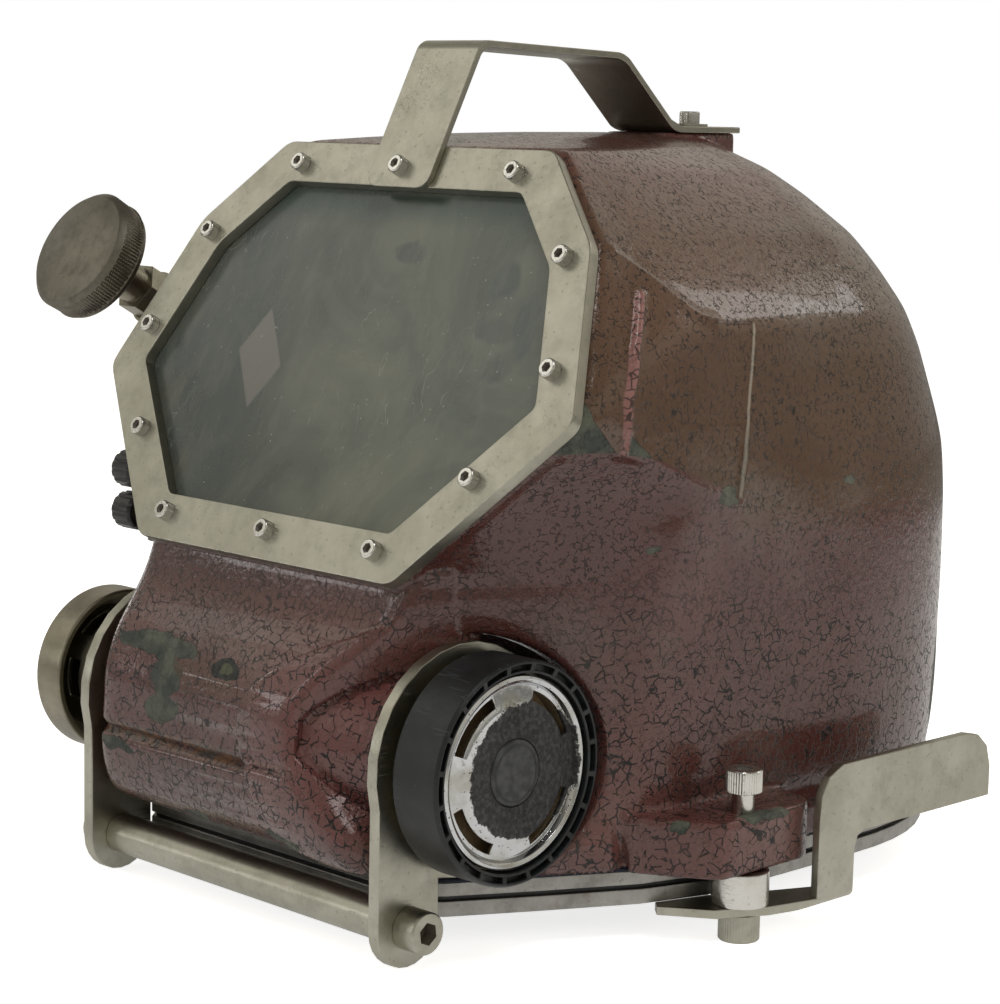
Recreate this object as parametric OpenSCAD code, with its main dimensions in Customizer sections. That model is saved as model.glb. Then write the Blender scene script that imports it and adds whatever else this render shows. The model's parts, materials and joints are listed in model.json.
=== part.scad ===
// Diving helmet with a bolted faceplate, a side demand regulator and a latched neck ring.
// Frame: +Z up, -Y is the wearer's front, X = 0 is the plane of symmetry.
// Z = 0 is the surface that the helmet stands on. Right means the +X side here.

/* [Shell] */
// Thickness of the moulded shell
wall = 5; // [4:0.5:6]
// Height of the shell's lower edge
shell_base = 31; // [31:0.5:32]

/* [Faceplate] */
// Lean of the faceplate back from the vertical
port_tilt = 26.9; // [26:0.1:28]
// Thickness of the faceplate frame
retainer_t = 6; // [5:0.5:7]
// Thickness of the lens
lens_t = 8; // [6:0.5:9]
// Thickness of the lens gasket
gasket_t = 3; // [2:0.5:4]
// Radius of the small cap screws' shank
m5_r = 2.5; // [2.4:0.05:2.6]
// Radius of the small cap screws' head
m5_head_r = 4.25; // [4:0.05:4.5]
// Height of the small cap screws' head
m5_head_h = 5; // [4:0.5:5]

/* [Handle] */
// Width of the handle strap
strap_w = 40; // [34:1:44]
// Thickness of the handle strap
strap_t = 3; // [2.5:0.5:5]

/* [Guard] */
// Distance of the guard plates' inner faces from the middle
guard_x = 94; // [94:0.5:95]
// Thickness of the guard plates
guard_t = 6; // [5:0.5:6]
// Radius of the guard plates' round head
guard_head_r = 50; // [49:0.5:50]
// Radius of the guard bar
bar_r = 9; // [8:0.5:10]
// Radius of the handle's rear screw
m6_r = 3; // [2.5:0.1:3]
// Radius of the large screws' shank
m12_r = 6; // [5.8:0.1:6.2]

/* [Regulator] */
// Height of the regulator's and the exhaust's common axis
reg_z = 82.7; // [82:0.1:83.5]
// Radius of the regulator's rubber bumper
bumper_r = 47.15; // [46:0.05:48]
// Thickness of the bumper's rubber round the regulator's body
bumper_wall = 5.65; // [5:0.05:6]
// Radius of the purge button
button_r = 14; // [12:0.5:15]
// Travel of the purge button
button_travel = 3; // [2:0.5:3]
// Radius of the tubes that pass through the guard plates
tube_r = 16; // [14:0.5:16]
// Radius of the exhaust cup
cup_r = 39; // [38:0.5:40]

/* [Valve] */
// Radius of the air valve's knob
knob_r = 31; // [29:0.5:33]
// Thickness of the air valve's knob
knob_t = 17.5; // [15:0.5:19]
// Radius of the air valve's stem
stem_r = 4; // [3.5:0.1:4.5]

/* [Neck ring] */
// Height of the lower ring's underside
ring_z = 16.2; // [16.1:0.1:16.5]
// Thickness of the lower ring
lower_ring_t = 6.8; // [6:0.1:7]
// Thickness of the ring seal
seal_t = 2; // [1.5:0.1:2.5]
// Width of the rings
ring_w = 17; // [16:0.5:18]

/* [Latches] */
// Distance of the latch pivots from the middle
latch_x = 164.5; // [164:0.1:165]
// Distance of the latch pivots behind the frame's origin
latch_y = 3; // [2:0.5:4]
// Thickness of the latch levers
lever_t = 4; // [3.5:0.5:4]
// Height of the latch levers' underside and of the pivot bolts' head
lever_z = 12; // [12:0.1:12.1]

/* [Hidden] */
$fn = 64;

// Running clearance of pins and tubes in their bores
fit = 0.05;
// Gap between faces that slide past each other
slide_gap = 0.3;
// Gap between a curved piece and its seat
seat_gap = 0.3;

// Faceplate: place of the frame's lower edge on its front face
port_y = -129.9;
port_z = 157.3;
// Faceplate frame, right half: across, and up the plate from its lower edge
port_outer_half = [[83.3, 0], [151.2, 78.8], [126.1, 155.7], [85.6, 198]];
port_inner_half = [[73.3, 21.6], [127.9, 83.7], [107.4, 144.6], [75.3, 177.6]];
port_screw_half = [[68.9, 12.6], [108.6, 49.4], [130.9, 99.7], [114.6, 149.4], [69.2, 186.1]];
port_screw_low = [0, 12.7];
port_screw_top = [0, 185.4];

// Regulator and exhaust axis, across the front of the chin
reg_y = -100;
// Guard bar, between the ends of the two plates' legs
leg_r = 17;
leg_set_back = 2;
bar_y = reg_y - guard_head_r + leg_set_back + leg_r;
bar_z = 17;

// Air valve: centre of the knob's face, and the lean of its axis forward from the vertical
valve_face = [-188, -87, 280];
valve_lean = 61;
// Distance down the valve's axis to the spigot that goes through the shell
spigot_d = 75;

// Levels of the shell from its lower edge to its crown, one row a level: height, front edge,
// half-width of the front on the right and on the left, then two points of the side
// (across, along) and the rear edge. The faceplate's seat is at heights 157 to 334.
shell_levels = [
    [31.25, -112, 88, 88, 138, -33, 149, 70, 234],
    [34, -113, 88, 88, 138, -33, 149.5, 75, 235],
    [38, -138, 86, 84, 138, -33, 150, 80, 235],
    [42, -145.5, 86, 85, 138.5, -34, 150.5, 85, 235],
    [50, -149, 82, 85, 139, -35, 151.5, 90, 235.5],
    [58, -151, 72, 85, 139.5, -35, 153.5, 90, 236],
    [68, -152, 60, 85, 140, -35, 155, 90, 236.5],
    [82, -150.5, 50, 85, 140, -35, 156, 90, 237],
    [97, -150, 47, 85, 140.5, -35, 156, 90, 238],
    [108, -147, 52, 85, 141, -34.5, 156, 90, 238],
    [118, -142, 60, 85, 141.5, -34, 156, 90, 238],
    [130, -133.5, 72, 85, 142, -33, 156.5, 90, 238],
    [140, -127.5, 80, 84.5, 142.5, -32, 156.5, 90, 238],
    [150, -124, 84, 83.5, 143.5, -31, 156.5, 90, 238],
    [157.3, -123.1, 82.6, 82.6, 145, -29, 156.5, 90, 237.9],
    [175, -114.1, 99.4, 99.4, 148, -23, 156.5, 90, 237],
    [190, -106.5, 114, 114, 150.2, -15, 156, 90, 235.3],
    [200, -101.5, 123.5, 123.5, 151, -28, 155, 91, 233.8],
    [212, -95.4, 135.1, 135.1, 151, -56, 153, 92, 231.5],
    [227.6, -87.4, 150.2, 150.2, 151, -83, 149.6, 93, 227.6],
    [245, -78.6, 143.8, 143.8, 151, -55, 146, 95, 222],
    [262, -70, 137.6, 137.6, 150.5, -24, 140, 97, 215.3],
    [280, -60.9, 131, 131, 137, -25, 126, 101, 206],
    [296, -52.7, 125.1, 125.1, 122, -28, 111, 105, 195],
    [313, -44.1, 107, 107, 104.5, -32, 84, 108, 180],
    [325, -38, 94.2, 94.2, 93, -30, 63, 110, 164],
    [333.9, -33.5, 84.5, 84.5, 83, -28, 40, 111, 147],
    [336.5, -12, 62, 62, 58, -6, 31, 112, 140],
    [338.7, 14, 42, 42, 40, 18, 21, 112, 132],
    [340, 44, 22, 22, 21, 48, 12, 112, 124],
    [340.6, 80, 3, 3, 2.9, 85, 2, 112, 116]];
// How square the rear of the shell is at each height: 2 is an ellipse
rear_power = [[31, 2.4], [200, 2.4], [262, 2.15], [300, 2]];
// Inside edge of the shell at the neck: the same nine values
neck_level = [0, -97, 74, 74, 121, -25, 134, 75, 219];

// Number of steps along each stretch of a level's half outline
front_steps = 2;
cheek_steps = 5;
side_steps = 4;
rear_steps = 10;

function mix(a, b, t) = a + (b - a) * t;

// Quarter of a superellipse from the side to the rear of a level
function rear_point(level, t, n) =
    [level[6] * pow(cos(t), 2 / n), level[7] + (level[8] - level[7]) * pow(sin(t), 2 / n)];

// Half outline of a level from the front middle to the rear middle, with its own half-width
function half_outline(level, w, n) = concat(
    [for (i = [0 : front_steps - 1]) [w * i / front_steps, level[1]]],
    [for (i = [0 : cheek_steps - 1]) mix([w, level[1]], [level[4], level[5]], i / cheek_steps)],
    [for (i = [0 : side_steps - 1])
        mix([level[4], level[5]], [level[6], level[7]], i / side_steps)],
    [for (i = [0 : rear_steps]) rear_point(level, 90 * i / rear_steps, n)]);

function mirrored(points) = [for (i = [len(points) - 2 : -1 : 1]) [-points[i].x, points[i].y]];

function outline(level, n) =
    concat(half_outline(level, level[2], n), mirrored(half_outline(level, level[3], n)));

function raised(points, z) = [for (p = points) [p.x, p.y, z]];

// The first and the last outline are closed by faces that meet at this distance along
end_centre_y = 100;

// Closed skin through a stack of outlines that have the same number of points
module loft(rings) {
    count = len(rings[0]);
    top = len(rings) - 1;
    last = count * len(rings);
    points = concat([for (ring = rings) each ring],
        [[0, end_centre_y, rings[0][0].z], [0, end_centre_y, rings[top][0].z]]);
    sides = [for (k = [0 : top - 1]) for (i = [0 : count - 1])
        let (a = k * count + i, b = k * count + (i + 1) % count) each
            [[a, a + count, b + count], [a, b + count, b]]];
    floor_faces = [for (i = [0 : count - 1]) [last, i, (i + 1) % count]];
    roof_faces = [for (i = [0 : count - 1])
        [last + 1, top * count + (i + 1) % count, top * count + i]];
    polyhedron(points = points, faces = concat(sides, floor_faces, roof_faces));
}

// How far the skin lies behind the faceplate's seat, which the port block carries
seat_proud = 0.8;
function level_ring(level) = let (z = level[0], back = z > 152 && z < 335 ? seat_proud : 0)
    raised(outline([for (i = [0 : 8]) level[i] + (i == 1 ? back : 0)], lookup(z, rear_power)), z);

function inner_level(s) =
    [s[0] - (s[0] > 320 ? wall + 0.5 : 0), s[1] + wall + 1, max(s[2] - wall, 1), max(s[3] - wall, 1),
        max(s[4] - wall, 0.9), s[5] + 1, max(s[6] - wall, 0.8), s[7], s[8] - wall];

// Height above which the neck flange gives way to the full hollow
flange_z = 47;
// Height of the outer level that the hollow's own crown follows
crown_z = 340;
cavity_levels = concat(
    [[shell_base - 10, each [for (i = [1 : 8]) neck_level[i]]]],
    [[flange_z, each [for (i = [1 : 8]) neck_level[i]]]],
    [for (s = shell_levels) if (s[0] > flange_z + 2 && s[0] <= crown_z) inner_level(s)]);

// Points moved inward by d, for a closed outline that runs anticlockwise
function edge_normal(a, b) = let (t = (b - a) / norm(b - a)) [-t.y, t.x];
function inset(points, d) = let (n = len(points)) [for (i = [0 : n - 1])
    let (n1 = edge_normal(points[(i + n - 1) % n], points[i]),
        n2 = edge_normal(points[i], points[(i + 1) % n]))
        points[i] + d * (n1 + n2) / (1 + n1 * n2)];

// Outline with each corner cut back by c and rounded by a curve of a few points
function rounded(points, c, steps = 4) = let (n = len(points)) [for (i = [0 : n - 1])
    let (p = points[i], a = points[(i + n - 1) % n], b = points[(i + 1) % n],
        p0 = p + (a - p) / norm(a - p) * c, p1 = p + (b - p) / norm(b - p) * c)
        for (k = [0 : steps]) let (t = k / steps)
            p0 * (1 - t) * (1 - t) + p * 2 * t * (1 - t) + p1 * t * t];

function octagon(half) = concat([for (p = half) p], [for (i = [3 : -1 : 0]) [-half[i].x, half[i].y]]);
port_outer = octagon(port_outer_half);
port_inner = octagon(port_inner_half);
port_screws_at = concat(port_screw_half, [for (p = port_screw_half) [-p.x, p.y]], [port_screw_low]);

// Neck ring: right half of its plan up to the start of the rounded rear
ring_front_half = [[0, -116], [91, -116], [98, -108], [118, -72], [139, -32], [149, 0], [150, 50]];
ring_rear_start = 95;
ring_rear_y = 235;
ring_half = concat(ring_front_half, [for (i = [0 : 14])
    [150 * pow(cos(90 * i / 14), 2 / 2.4),
        ring_rear_start + (ring_rear_y - ring_rear_start) * pow(sin(90 * i / 14), 2 / 2.4)]]);
ring_plan = concat(ring_half, mirrored(ring_half));
ring_top = ring_z + lower_ring_t + seal_t;
upper_ring_t = shell_base - ring_top;
upper_screws_at = [[50, -108], [-50, -108], [121.4, -48.3], [-121.4, -48.3], [142, 60], [-142, 60],
    [106.8, 194.2], [-106.8, 194.2], [0, 227]];
lower_screws_at = [[139, 134], [-139, 134], [77, 215], [-77, 215], [85, -107], [-85, -107]];

module on_port() {
    translate([0, port_y, port_z]) rotate([90 - port_tilt, 0, 0]) children();
}

module along_x(x) {
    translate([x, reg_y, reg_z]) rotate([0, 90, 0]) children();
}

module on_valve() {
    translate(valve_face) rotate([valve_lean, 0, 0]) children();
}

// Point on the valve's axis, d below the knob's face
function valve_point(d) = valve_face + d * [0, sin(valve_lean), -cos(valve_lean)];
spigot_at = valve_point(spigot_d);

module both_sides() {
    children();
    mirror([1, 0, 0]) children();
}

// Socket head cap screw: its head stands on Z = 0 and its shank goes down from there
module cap_screw(shank_r, shank_l, head_r, head_h, key_r) {
    difference() {
        union() {
            cylinder(h = head_h, r = head_r);
            translate([0, 0, -shank_l]) cylinder(h = shank_l + 0.1, r = shank_r);
        }
        translate([0, 0, head_h * 0.45]) cylinder(h = head_h, r = key_r, $fn = 6);
    }
}

m5_shank = 18;
m5_key_r = 2.4;

// Outline of a guard plate in the plane (along, up): round head, parallel leg and round end
leg_front = bar_y - leg_r - reg_y;
leg_back = bar_y + leg_r - reg_y;
head_from = 360 - acos(leg_back / guard_head_r);
head_to = 720 - acos(leg_front / guard_head_r);
guard_outline = concat(
    [for (i = [0 : 24]) let (a = mix(head_from, head_to, i / 24))
        [reg_y + guard_head_r * cos(a), reg_z + guard_head_r * sin(a)]],
    [for (i = [0 : 12]) let (a = 180 + 15 * i) [bar_y + leg_r * cos(a), bar_z + leg_r * sin(a)]]);

// Space that the guard plate, the bumper and the cup need beside the chin
module side_pocket() {
    pocket_x = guard_x - 0.6;
    along_x(pocket_x) cylinder(h = 60, r = guard_head_r + 3);
    translate([pocket_x, bar_y - leg_r - 3, -5])
        cube([guard_t + 3, 2 * leg_r + 6, reg_z]);
}

module shell_outer() {
    difference() {
        loft([for (s = shell_levels) level_ring(s)]);
        both_sides() side_pocket();
    }
}

neck_r1 = 47.5;
neck_r2 = 34;
neck_start = 50;
left_neck_start = 80;
left_neck_r1 = 41;

module tube_necks() {
    along_x(neck_start) cylinder(h = guard_x - neck_start, r1 = neck_r1, r2 = neck_r2);
    mirror([1, 0, 0]) along_x(left_neck_start)
        cylinder(h = guard_x - left_neck_start, r1 = left_neck_r1, r2 = neck_r2);
}

neck_end_t = 7;
module tube_neck_hollows() {
    end_x = guard_x - neck_end_t;
    along_x(44) cylinder(h = end_x - 44, r1 = 42, r2 = neck_r2 - 5);
    mirror([1, 0, 0]) along_x(74) cylinder(h = end_x - 74, r1 = 34, r2 = neck_r2 - 5);
}

boss_top = 56;
latch_boss_plan = [[138, -42], [157, -31], [170, -22.5], [173, -19], [174, -15], [174, 32],
    [172, 38], [166, 44.5], [138, 50]];
module latch_boss() {
    translate([0, 0, shell_base]) linear_extrude(boss_top - shell_base)
        polygon(latch_boss_plan);
}

handle_foot_z = shell_levels[len(shell_levels) - 1][0] + 0.4;
handle_screw_y = 143;
module handle_boss() {
    translate([-strap_w / 2 + 1, 104, 322]) cube([strap_w - 2, 52, handle_foot_z - 322]);
}

pad_face = 152.5;
module valve_pad() {
    translate([-pad_face, spigot_at.y, spigot_at.z]) rotate([0, 90, 0]) cylinder(h = 9, r = 17);
}

terminal_y = -82;
terminal_z = [156, 176];
terminal_face = 126;
module terminal_pad() {
    translate([-terminal_face, terminal_y - 11, terminal_z[0] - 11])
        cube([24, 22, terminal_z[1] - terminal_z[0] + 22]);
}

rebate_grow = 5.3;
port_block_depth = retainer_t + 19;
module port_block() {
    on_port() translate([0, 0, -retainer_t - 5]) linear_extrude(5)
        polygon(inset(port_outer, 1.5));
    on_port() translate([0, 0, -port_block_depth]) linear_extrude(15)
        polygon(inset(port_outer, 6));
}

module port_opening() {
    on_port() {
        translate([0, 0, -retainer_t - lens_t - gasket_t]) linear_extrude(40)
            polygon(inset(port_inner, -rebate_grow));
        translate([0, 0, -60]) linear_extrude(60) polygon(inset(port_inner, 1));
    }
}

module shell_bores() {
    on_port() for (p = concat(port_screws_at, [port_screw_top]))
        translate([p.x, p.y, -retainer_t - 15]) cylinder(h = 16, r = m5_r + fit);
    both_sides() along_x(guard_x - neck_end_t - 1)
        cylinder(h = neck_end_t + 2, r = tube_r + fit);
    translate([0, handle_screw_y, 322.5]) cylinder(h = 20, r = m6_r + fit);
    both_sides() translate([latch_x, latch_y, 0]) {
        translate([0, 0, 30]) cylinder(h = 14, r = m12_r + fit);
        cylinder(h = 60, r = 5 + fit);
    }
    translate([-pad_face - 1, spigot_at.y, spigot_at.z]) rotate([0, 90, 0])
        cylinder(h = 14, r = 8 + fit);
    for (z = terminal_z) translate([-terminal_face - 1, terminal_y, z]) rotate([0, 90, 0])
        cylinder(h = 40, r = 3 + fit);
    for (p = upper_screws_at) translate([p.x, p.y, shell_base - 1]) cylinder(h = 13, r = 2 + fit);
}

module shell() {
    color([0.28, 0.09, 0.08]) difference() {
        union() {
            difference() {
                union() {
                    shell_outer();
                    tube_necks();
                    both_sides() latch_boss();
                    handle_boss();
                    valve_pad();
                    terminal_pad();
                }
                loft([for (s = cavity_levels) level_ring(s)]);
                tube_neck_hollows();
            }
            port_block();
        }
        port_opening();
        shell_bores();
    }
}

module port_gasket() {
    color([0.06, 0.06, 0.06]) on_port()
        translate([0, 0, -retainer_t - lens_t - gasket_t]) linear_extrude(gasket_t)
            difference() {
                polygon(inset(port_inner, -5));
                polygon(inset(port_inner, 0.5));
            }
}

module port_lens() {
    color([0.4, 0.45, 0.42, 0.4]) on_port() translate([0, 0, -retainer_t - lens_t])
        linear_extrude(lens_t) polygon(inset(port_inner, -5));
}

module port_retainer() {
    color([0.66, 0.64, 0.58]) on_port() difference() {
        translate([0, 0, -retainer_t]) linear_extrude(retainer_t) difference() {
            polygon(rounded(port_outer, 5));
            polygon(rounded(port_inner, 3));
        }
        for (p = concat(port_screws_at, [port_screw_top])) translate([p.x, p.y, -retainer_t - 1])
            cylinder(h = retainer_t + 2, r = m5_r + fit);
    }
}

module port_screws() {
    color([0.62, 0.6, 0.56]) on_port() {
        for (p = port_screws_at) translate([p.x, p.y, 0])
            cap_screw(m5_r, m5_shank, m5_head_r, m5_head_h, m5_key_r);
        translate([port_screw_top.x, port_screw_top.y, strap_t])
            cap_screw(m5_r, m5_shank, m5_head_r, m5_head_h, m5_key_r);
    }
}

// Handle: points of the strap's underside in the plane (along, up)
strap_low_v = 176;
strap_top_v = 247;
strap_low = [port_y + strap_low_v * sin(port_tilt), port_z + strap_low_v * cos(port_tilt)];
strap_top = [port_y + strap_top_v * sin(port_tilt), port_z + strap_top_v * cos(port_tilt)];
strap_line = [strap_low, strap_top, [73, handle_foot_z + 33.6], [110, handle_foot_z],
    [158, handle_foot_z]];
function strap_normal(i) = let (n1 = i > 0 ? edge_normal(strap_line[i - 1], strap_line[i]) : undef,
    n2 = i < 4 ? edge_normal(strap_line[i], strap_line[i + 1]) : undef)
    i == 0 ? n2 : i == 4 ? n1 : (n1 + n2) / (1 + n1 * n2);
strap_outer = [for (i = [0 : 4]) strap_line[i] + strap_t * strap_normal(i)];
strap_profile = concat(strap_line, [for (i = [4 : -1 : 0]) strap_outer[i]]);

strap_end_r = 7;
module carry_handle() {
    color([0.66, 0.64, 0.58]) difference() {
        rotate([90, 0, 90]) translate([0, 0, -strap_w / 2]) linear_extrude(strap_w)
            polygon(strap_profile);
        on_port() translate([port_screw_top.x, port_screw_top.y, -1])
            cylinder(h = strap_t + 2, r = m5_r + fit);
        on_port() both_sides() translate([strap_w / 2 - strap_end_r, strap_low_v, 0])
            difference() {
                translate([0, -5, -10]) cube([strap_end_r + 5, strap_end_r + 5, 30]);
                translate([0, strap_end_r, -11]) cylinder(h = 32, r = strap_end_r);
            }
        translate([0, handle_screw_y, handle_foot_z - 1]) cylinder(h = strap_t + 2, r = m6_r + fit);
    }
}

washer_t = 1.2;
module handle_washer() {
    color([0.66, 0.64, 0.58]) translate([0, handle_screw_y, handle_foot_z + strap_t]) difference() {
        cylinder(h = washer_t, r = 9);
        translate([0, 0, -1]) cylinder(h = washer_t + 2, r = m6_r + fit);
    }
}

module handle_screw() {
    color([0.62, 0.6, 0.56]) translate([0, handle_screw_y, handle_foot_z + strap_t + washer_t])
        cap_screw(m6_r, m5_shank, 5, 6, 2.5);
}

module guard_plate() {
    color([0.66, 0.64, 0.58]) difference() {
        translate([guard_x, 0, 0]) rotate([90, 0, 90]) linear_extrude(guard_t)
            polygon(guard_outline);
        along_x(guard_x - 1) cylinder(h = guard_t + 2, r = tube_r + fit);
        translate([guard_x - 1, bar_y, bar_z]) rotate([0, 90, 0])
            cylinder(h = guard_t + 2, r = m12_r + fit);
    }
}

module guard_plate_right() {
    guard_plate();
}

module guard_plate_left() {
    mirror([1, 0, 0]) guard_plate();
}

bolt_depth = 24;
module guard_bar() {
    color([0.62, 0.6, 0.55]) translate([-guard_x, bar_y, bar_z]) rotate([0, 90, 0]) difference() {
        cylinder(h = 2 * guard_x, r = bar_r);
        translate([0, 0, -1]) cylinder(h = bolt_depth + 1, r = m12_r + fit);
        translate([0, 0, 2 * guard_x - bolt_depth]) cylinder(h = bolt_depth + 1, r = m12_r + fit);
    }
}

module guard_bolts() {
    color([0.62, 0.6, 0.56]) both_sides() translate([guard_x + guard_t, bar_y, bar_z])
        rotate([0, 90, 0]) cap_screw(m12_r, guard_t + bolt_depth - 1, 9, 12, 5.6);
}

// Regulator: stations along X
body_x = guard_x + guard_t;
body_rim_x = 126;
body_r = bumper_r - bumper_wall;
recess_r = body_r - 3.1;
seat_x = 117.5;
tube_end_x = 72;
tube_bore_r = 11;

module regulator_body() {
    color([0.6, 0.58, 0.54]) translate([0, reg_y, reg_z]) rotate([0, 90, 0]) rotate_extrude()
        polygon([[tube_bore_r, tube_end_x], [tube_r, tube_end_x], [tube_r, body_x],
            [body_r - 12.5, body_x], [body_r, 107], [body_r, body_rim_x - 3],
            [recess_r, body_rim_x - 3], [recess_r, seat_x], [recess_r - 2.4, seat_x],
            [recess_r - 2.4, 108], [recess_r - 11.4, 103.5], [tube_bore_r, 103.5]]);
}

nut_x = guard_x - neck_end_t;
module regulator_nut() {
    color([0.7, 0.6, 0.35]) along_x(nut_x - 8) difference() {
        cylinder(h = 8, r = tube_r + 9, $fn = 6);
        translate([0, 0, -1]) cylinder(h = 10, r = tube_r + fit);
    }
}

// Demand valve: a barrel inside the mounting tube, with a fork that carries the lever
lever_pin_x = 109;
module demand_valve() {
    color([0.7, 0.6, 0.35]) difference() {
        union() {
            along_x(76) cylinder(h = 28, r = 7);
            along_x(96) cylinder(h = 6, r = tube_bore_r - fit);
            translate([102, reg_y - 6, reg_z - 3]) cube([10, 12, 6]);
        }
        translate([102.5, reg_y - 2.2, reg_z - 5]) cube([12, 4.4, 10]);
        translate([lever_pin_x, reg_y - 8, reg_z]) rotate([-90, 0, 0]) cylinder(h = 16, r = 1.05);
        along_x(75) cylinder(h = 20, r = 4);
    }
}

// Lever: its pin turns in the fork, and its tip rests behind the diaphragm's plate
lever_tip_x = 115.3;
module demand_lever() {
    color([0.72, 0.7, 0.66]) {
        translate([lever_pin_x, reg_y - 7, reg_z]) rotate([-90, 0, 0]) cylinder(h = 14, r = 1);
        translate([lever_pin_x - 1, reg_y - 1.9, reg_z]) cube([lever_tip_x - lever_pin_x + 1, 3.8, 2]);
        translate([lever_tip_x - 1.5, reg_y - 1.9, reg_z]) cube([1.5, 3.8, 24]);
    }
}

diaphragm_x = seat_x;
diaphragm_r = recess_r - 0.4;
fold_r = diaphragm_r - 9;
module diaphragm() {
    color([0.5, 0.45, 0.35]) along_x(diaphragm_x) rotate_extrude()
        polygon([[0, 0], [fold_r - 9, 0], [fold_r - 7, -0.8], [fold_r - 3, -0.8], [fold_r, 0],
            [diaphragm_r, 0], [diaphragm_r, 1.2], [fold_r + 0.5, 1.2], [fold_r - 2.5, 0.4],
            [fold_r - 7, 0.4], [fold_r - 9, 1.2], [0, 1.2]]);
}

cover_x = body_rim_x;
cover_r = body_r - 1;
cover_wall_r = cover_r - 5.3;
module arc_slot(r, w, from, to) {
    steps = 8;
    linear_extrude(8) polygon(concat(
        [for (i = [0 : steps]) let (a = mix(from, to, i / steps)) (r + w / 2) * [cos(a), sin(a)]],
        [for (i = [steps : -1 : 0]) let (a = mix(from, to, i / steps))
            (r - w / 2) * [cos(a), sin(a)]]));
}

module regulator_cover() {
    color([0.8, 0.8, 0.8]) along_x(cover_x) difference() {
        rotate_extrude() polygon([[button_r + slide_gap, 1.6], [cover_r - 13.5, 1.6],
            [cover_r - 9.5, 0], [cover_wall_r, -0.6],
            [cover_wall_r, diaphragm_x + 1.2 - cover_x], [diaphragm_r, diaphragm_x + 1.2 - cover_x],
            [diaphragm_r, -2.8], [cover_r, -2.8], [cover_r, 3.4], [cover_r - 1.5, 4.2],
            [cover_r - 3.1, 3.4], [cover_r - 4.1, 1], [cover_r - 9.2, 1.5], [cover_r - 13.2, 3.1],
            [button_r + slide_gap, 3.1]]);
        for (a = [0 : 3]) rotate(90 * a + 45) translate([0, 0, -4])
            arc_slot(cover_r - 8.1, 4.4, -25, 25);
    }
}

button_x = 129;
// Inner end of the button, clear of the diaphragm by its travel and a little more
button_end = diaphragm_x + 1.2 + button_travel + 0.4;
module purge_button() {
    color([0.07, 0.07, 0.07]) along_x(0) rotate_extrude()
        polygon([[0, button_end], [button_r - 5, button_end], [button_r - 5, 125.4],
            [button_r + 3, 125.4], [button_r + 3, 127.3], [button_r, 127.3], [button_r, button_x], [button_r - 1, button_x + 1],
            [0, button_x + 1]]);
}

bumper_x = 105;
bumper_end = 132;
bumper_bore = body_r + fit;
module regulator_bumper() {
    color([0.05, 0.05, 0.06]) difference() {
        along_x(0) rotate_extrude() polygon([[bumper_bore, bumper_x + 3],
            [bumper_bore + 2.45, bumper_x],
            [bumper_r - 1.5, bumper_x], [bumper_r, bumper_x + 2], [bumper_r, bumper_end - 1.5],
            [bumper_r - 1, bumper_end], [bumper_bore, bumper_end - 1]]);
        for (a = [0 : 19]) along_x(bumper_end - 4) rotate(18 * a)
            arc_slot(bumper_r - 3.15, 2.6, -7.5, 7.5);
    }
}

// Exhaust: the same stations, mirrored to the left
valve_seat_x = 126;
collar_end_x = 145.9;
collar_r = 30;
module exhaust_body() {
    color([0.6, 0.58, 0.54]) mirror([1, 0, 0]) difference() {
        union() {
            along_x(0) rotate_extrude() polygon([[tube_bore_r + 1, 74], [tube_r, 74],
                [tube_r, body_x], [26, body_x], [26, 121], [collar_r, 122],
                [collar_r, collar_end_x], [collar_r - 2.5, collar_end_x],
                [collar_r - 2.5, valve_seat_x], [22, valve_seat_x], [22, 106],
                [tube_bore_r + 1, 103]]);
            along_x(122) for (a = [0 : 2]) rotate(120 * a)
                translate([3, -1.5, 0]) cube([20, 3, 3.4]);
            along_x(122) cylinder(h = 3.4, r = 5);
        }
        along_x(100) cylinder(h = 40, r = 2.05);
        for (a = [0 : 5]) along_x(valve_seat_x + 3) rotate(60 * a + 30)
            translate([20, -9, 0]) cube([15, 18, 8]);
    }
}

module exhaust_nut() {
    color([0.7, 0.6, 0.35]) mirror([1, 0, 0]) along_x(nut_x - 8) difference() {
        cylinder(h = 8, r = tube_r + 9, $fn = 6);
        translate([0, 0, -1]) cylinder(h = 10, r = tube_r + fit);
    }
}

module exhaust_valve() {
    color([0.1, 0.1, 0.1]) mirror([1, 0, 0]) {
        along_x(117) cylinder(h = 10, r = 2);
        along_x(valve_seat_x + 0.3) cylinder(h = 1.4, r = 26.5);
    }
}

cup_x = 132;
cup_end = 150;
cup_bore = 36;
set_screw_x = 141.5;
module exhaust_cup() {
    color([0.6, 0.58, 0.54]) mirror([1, 0, 0]) difference() {
        along_x(0) rotate_extrude() polygon([[cup_bore, cup_x], [cup_r - 0.8, cup_x],
            [cup_r, cup_x + 0.8], [cup_r, cup_end - 1], [cup_r - 1, cup_end], [0, cup_end],
            [0, cup_end - 4], [cup_bore, cup_end - 4]]);
        along_x(set_screw_x) rotate([0, 90, 150]) cylinder(h = 60, r = 2.05);
    }
}

// Set screw: it goes through the cup's band and bears on the exhaust body's collar
module exhaust_set_screw() {
    color([0.4, 0.38, 0.36]) mirror([1, 0, 0]) along_x(set_screw_x) rotate([0, 90, 150])
        translate([0, 0, collar_r + 0.1]) difference() {
            cylinder(h = 8.3, r = 2);
            translate([0, 0, 5]) cylinder(h = 4, r = 1.1, $fn = 6);
        }
}

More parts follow.
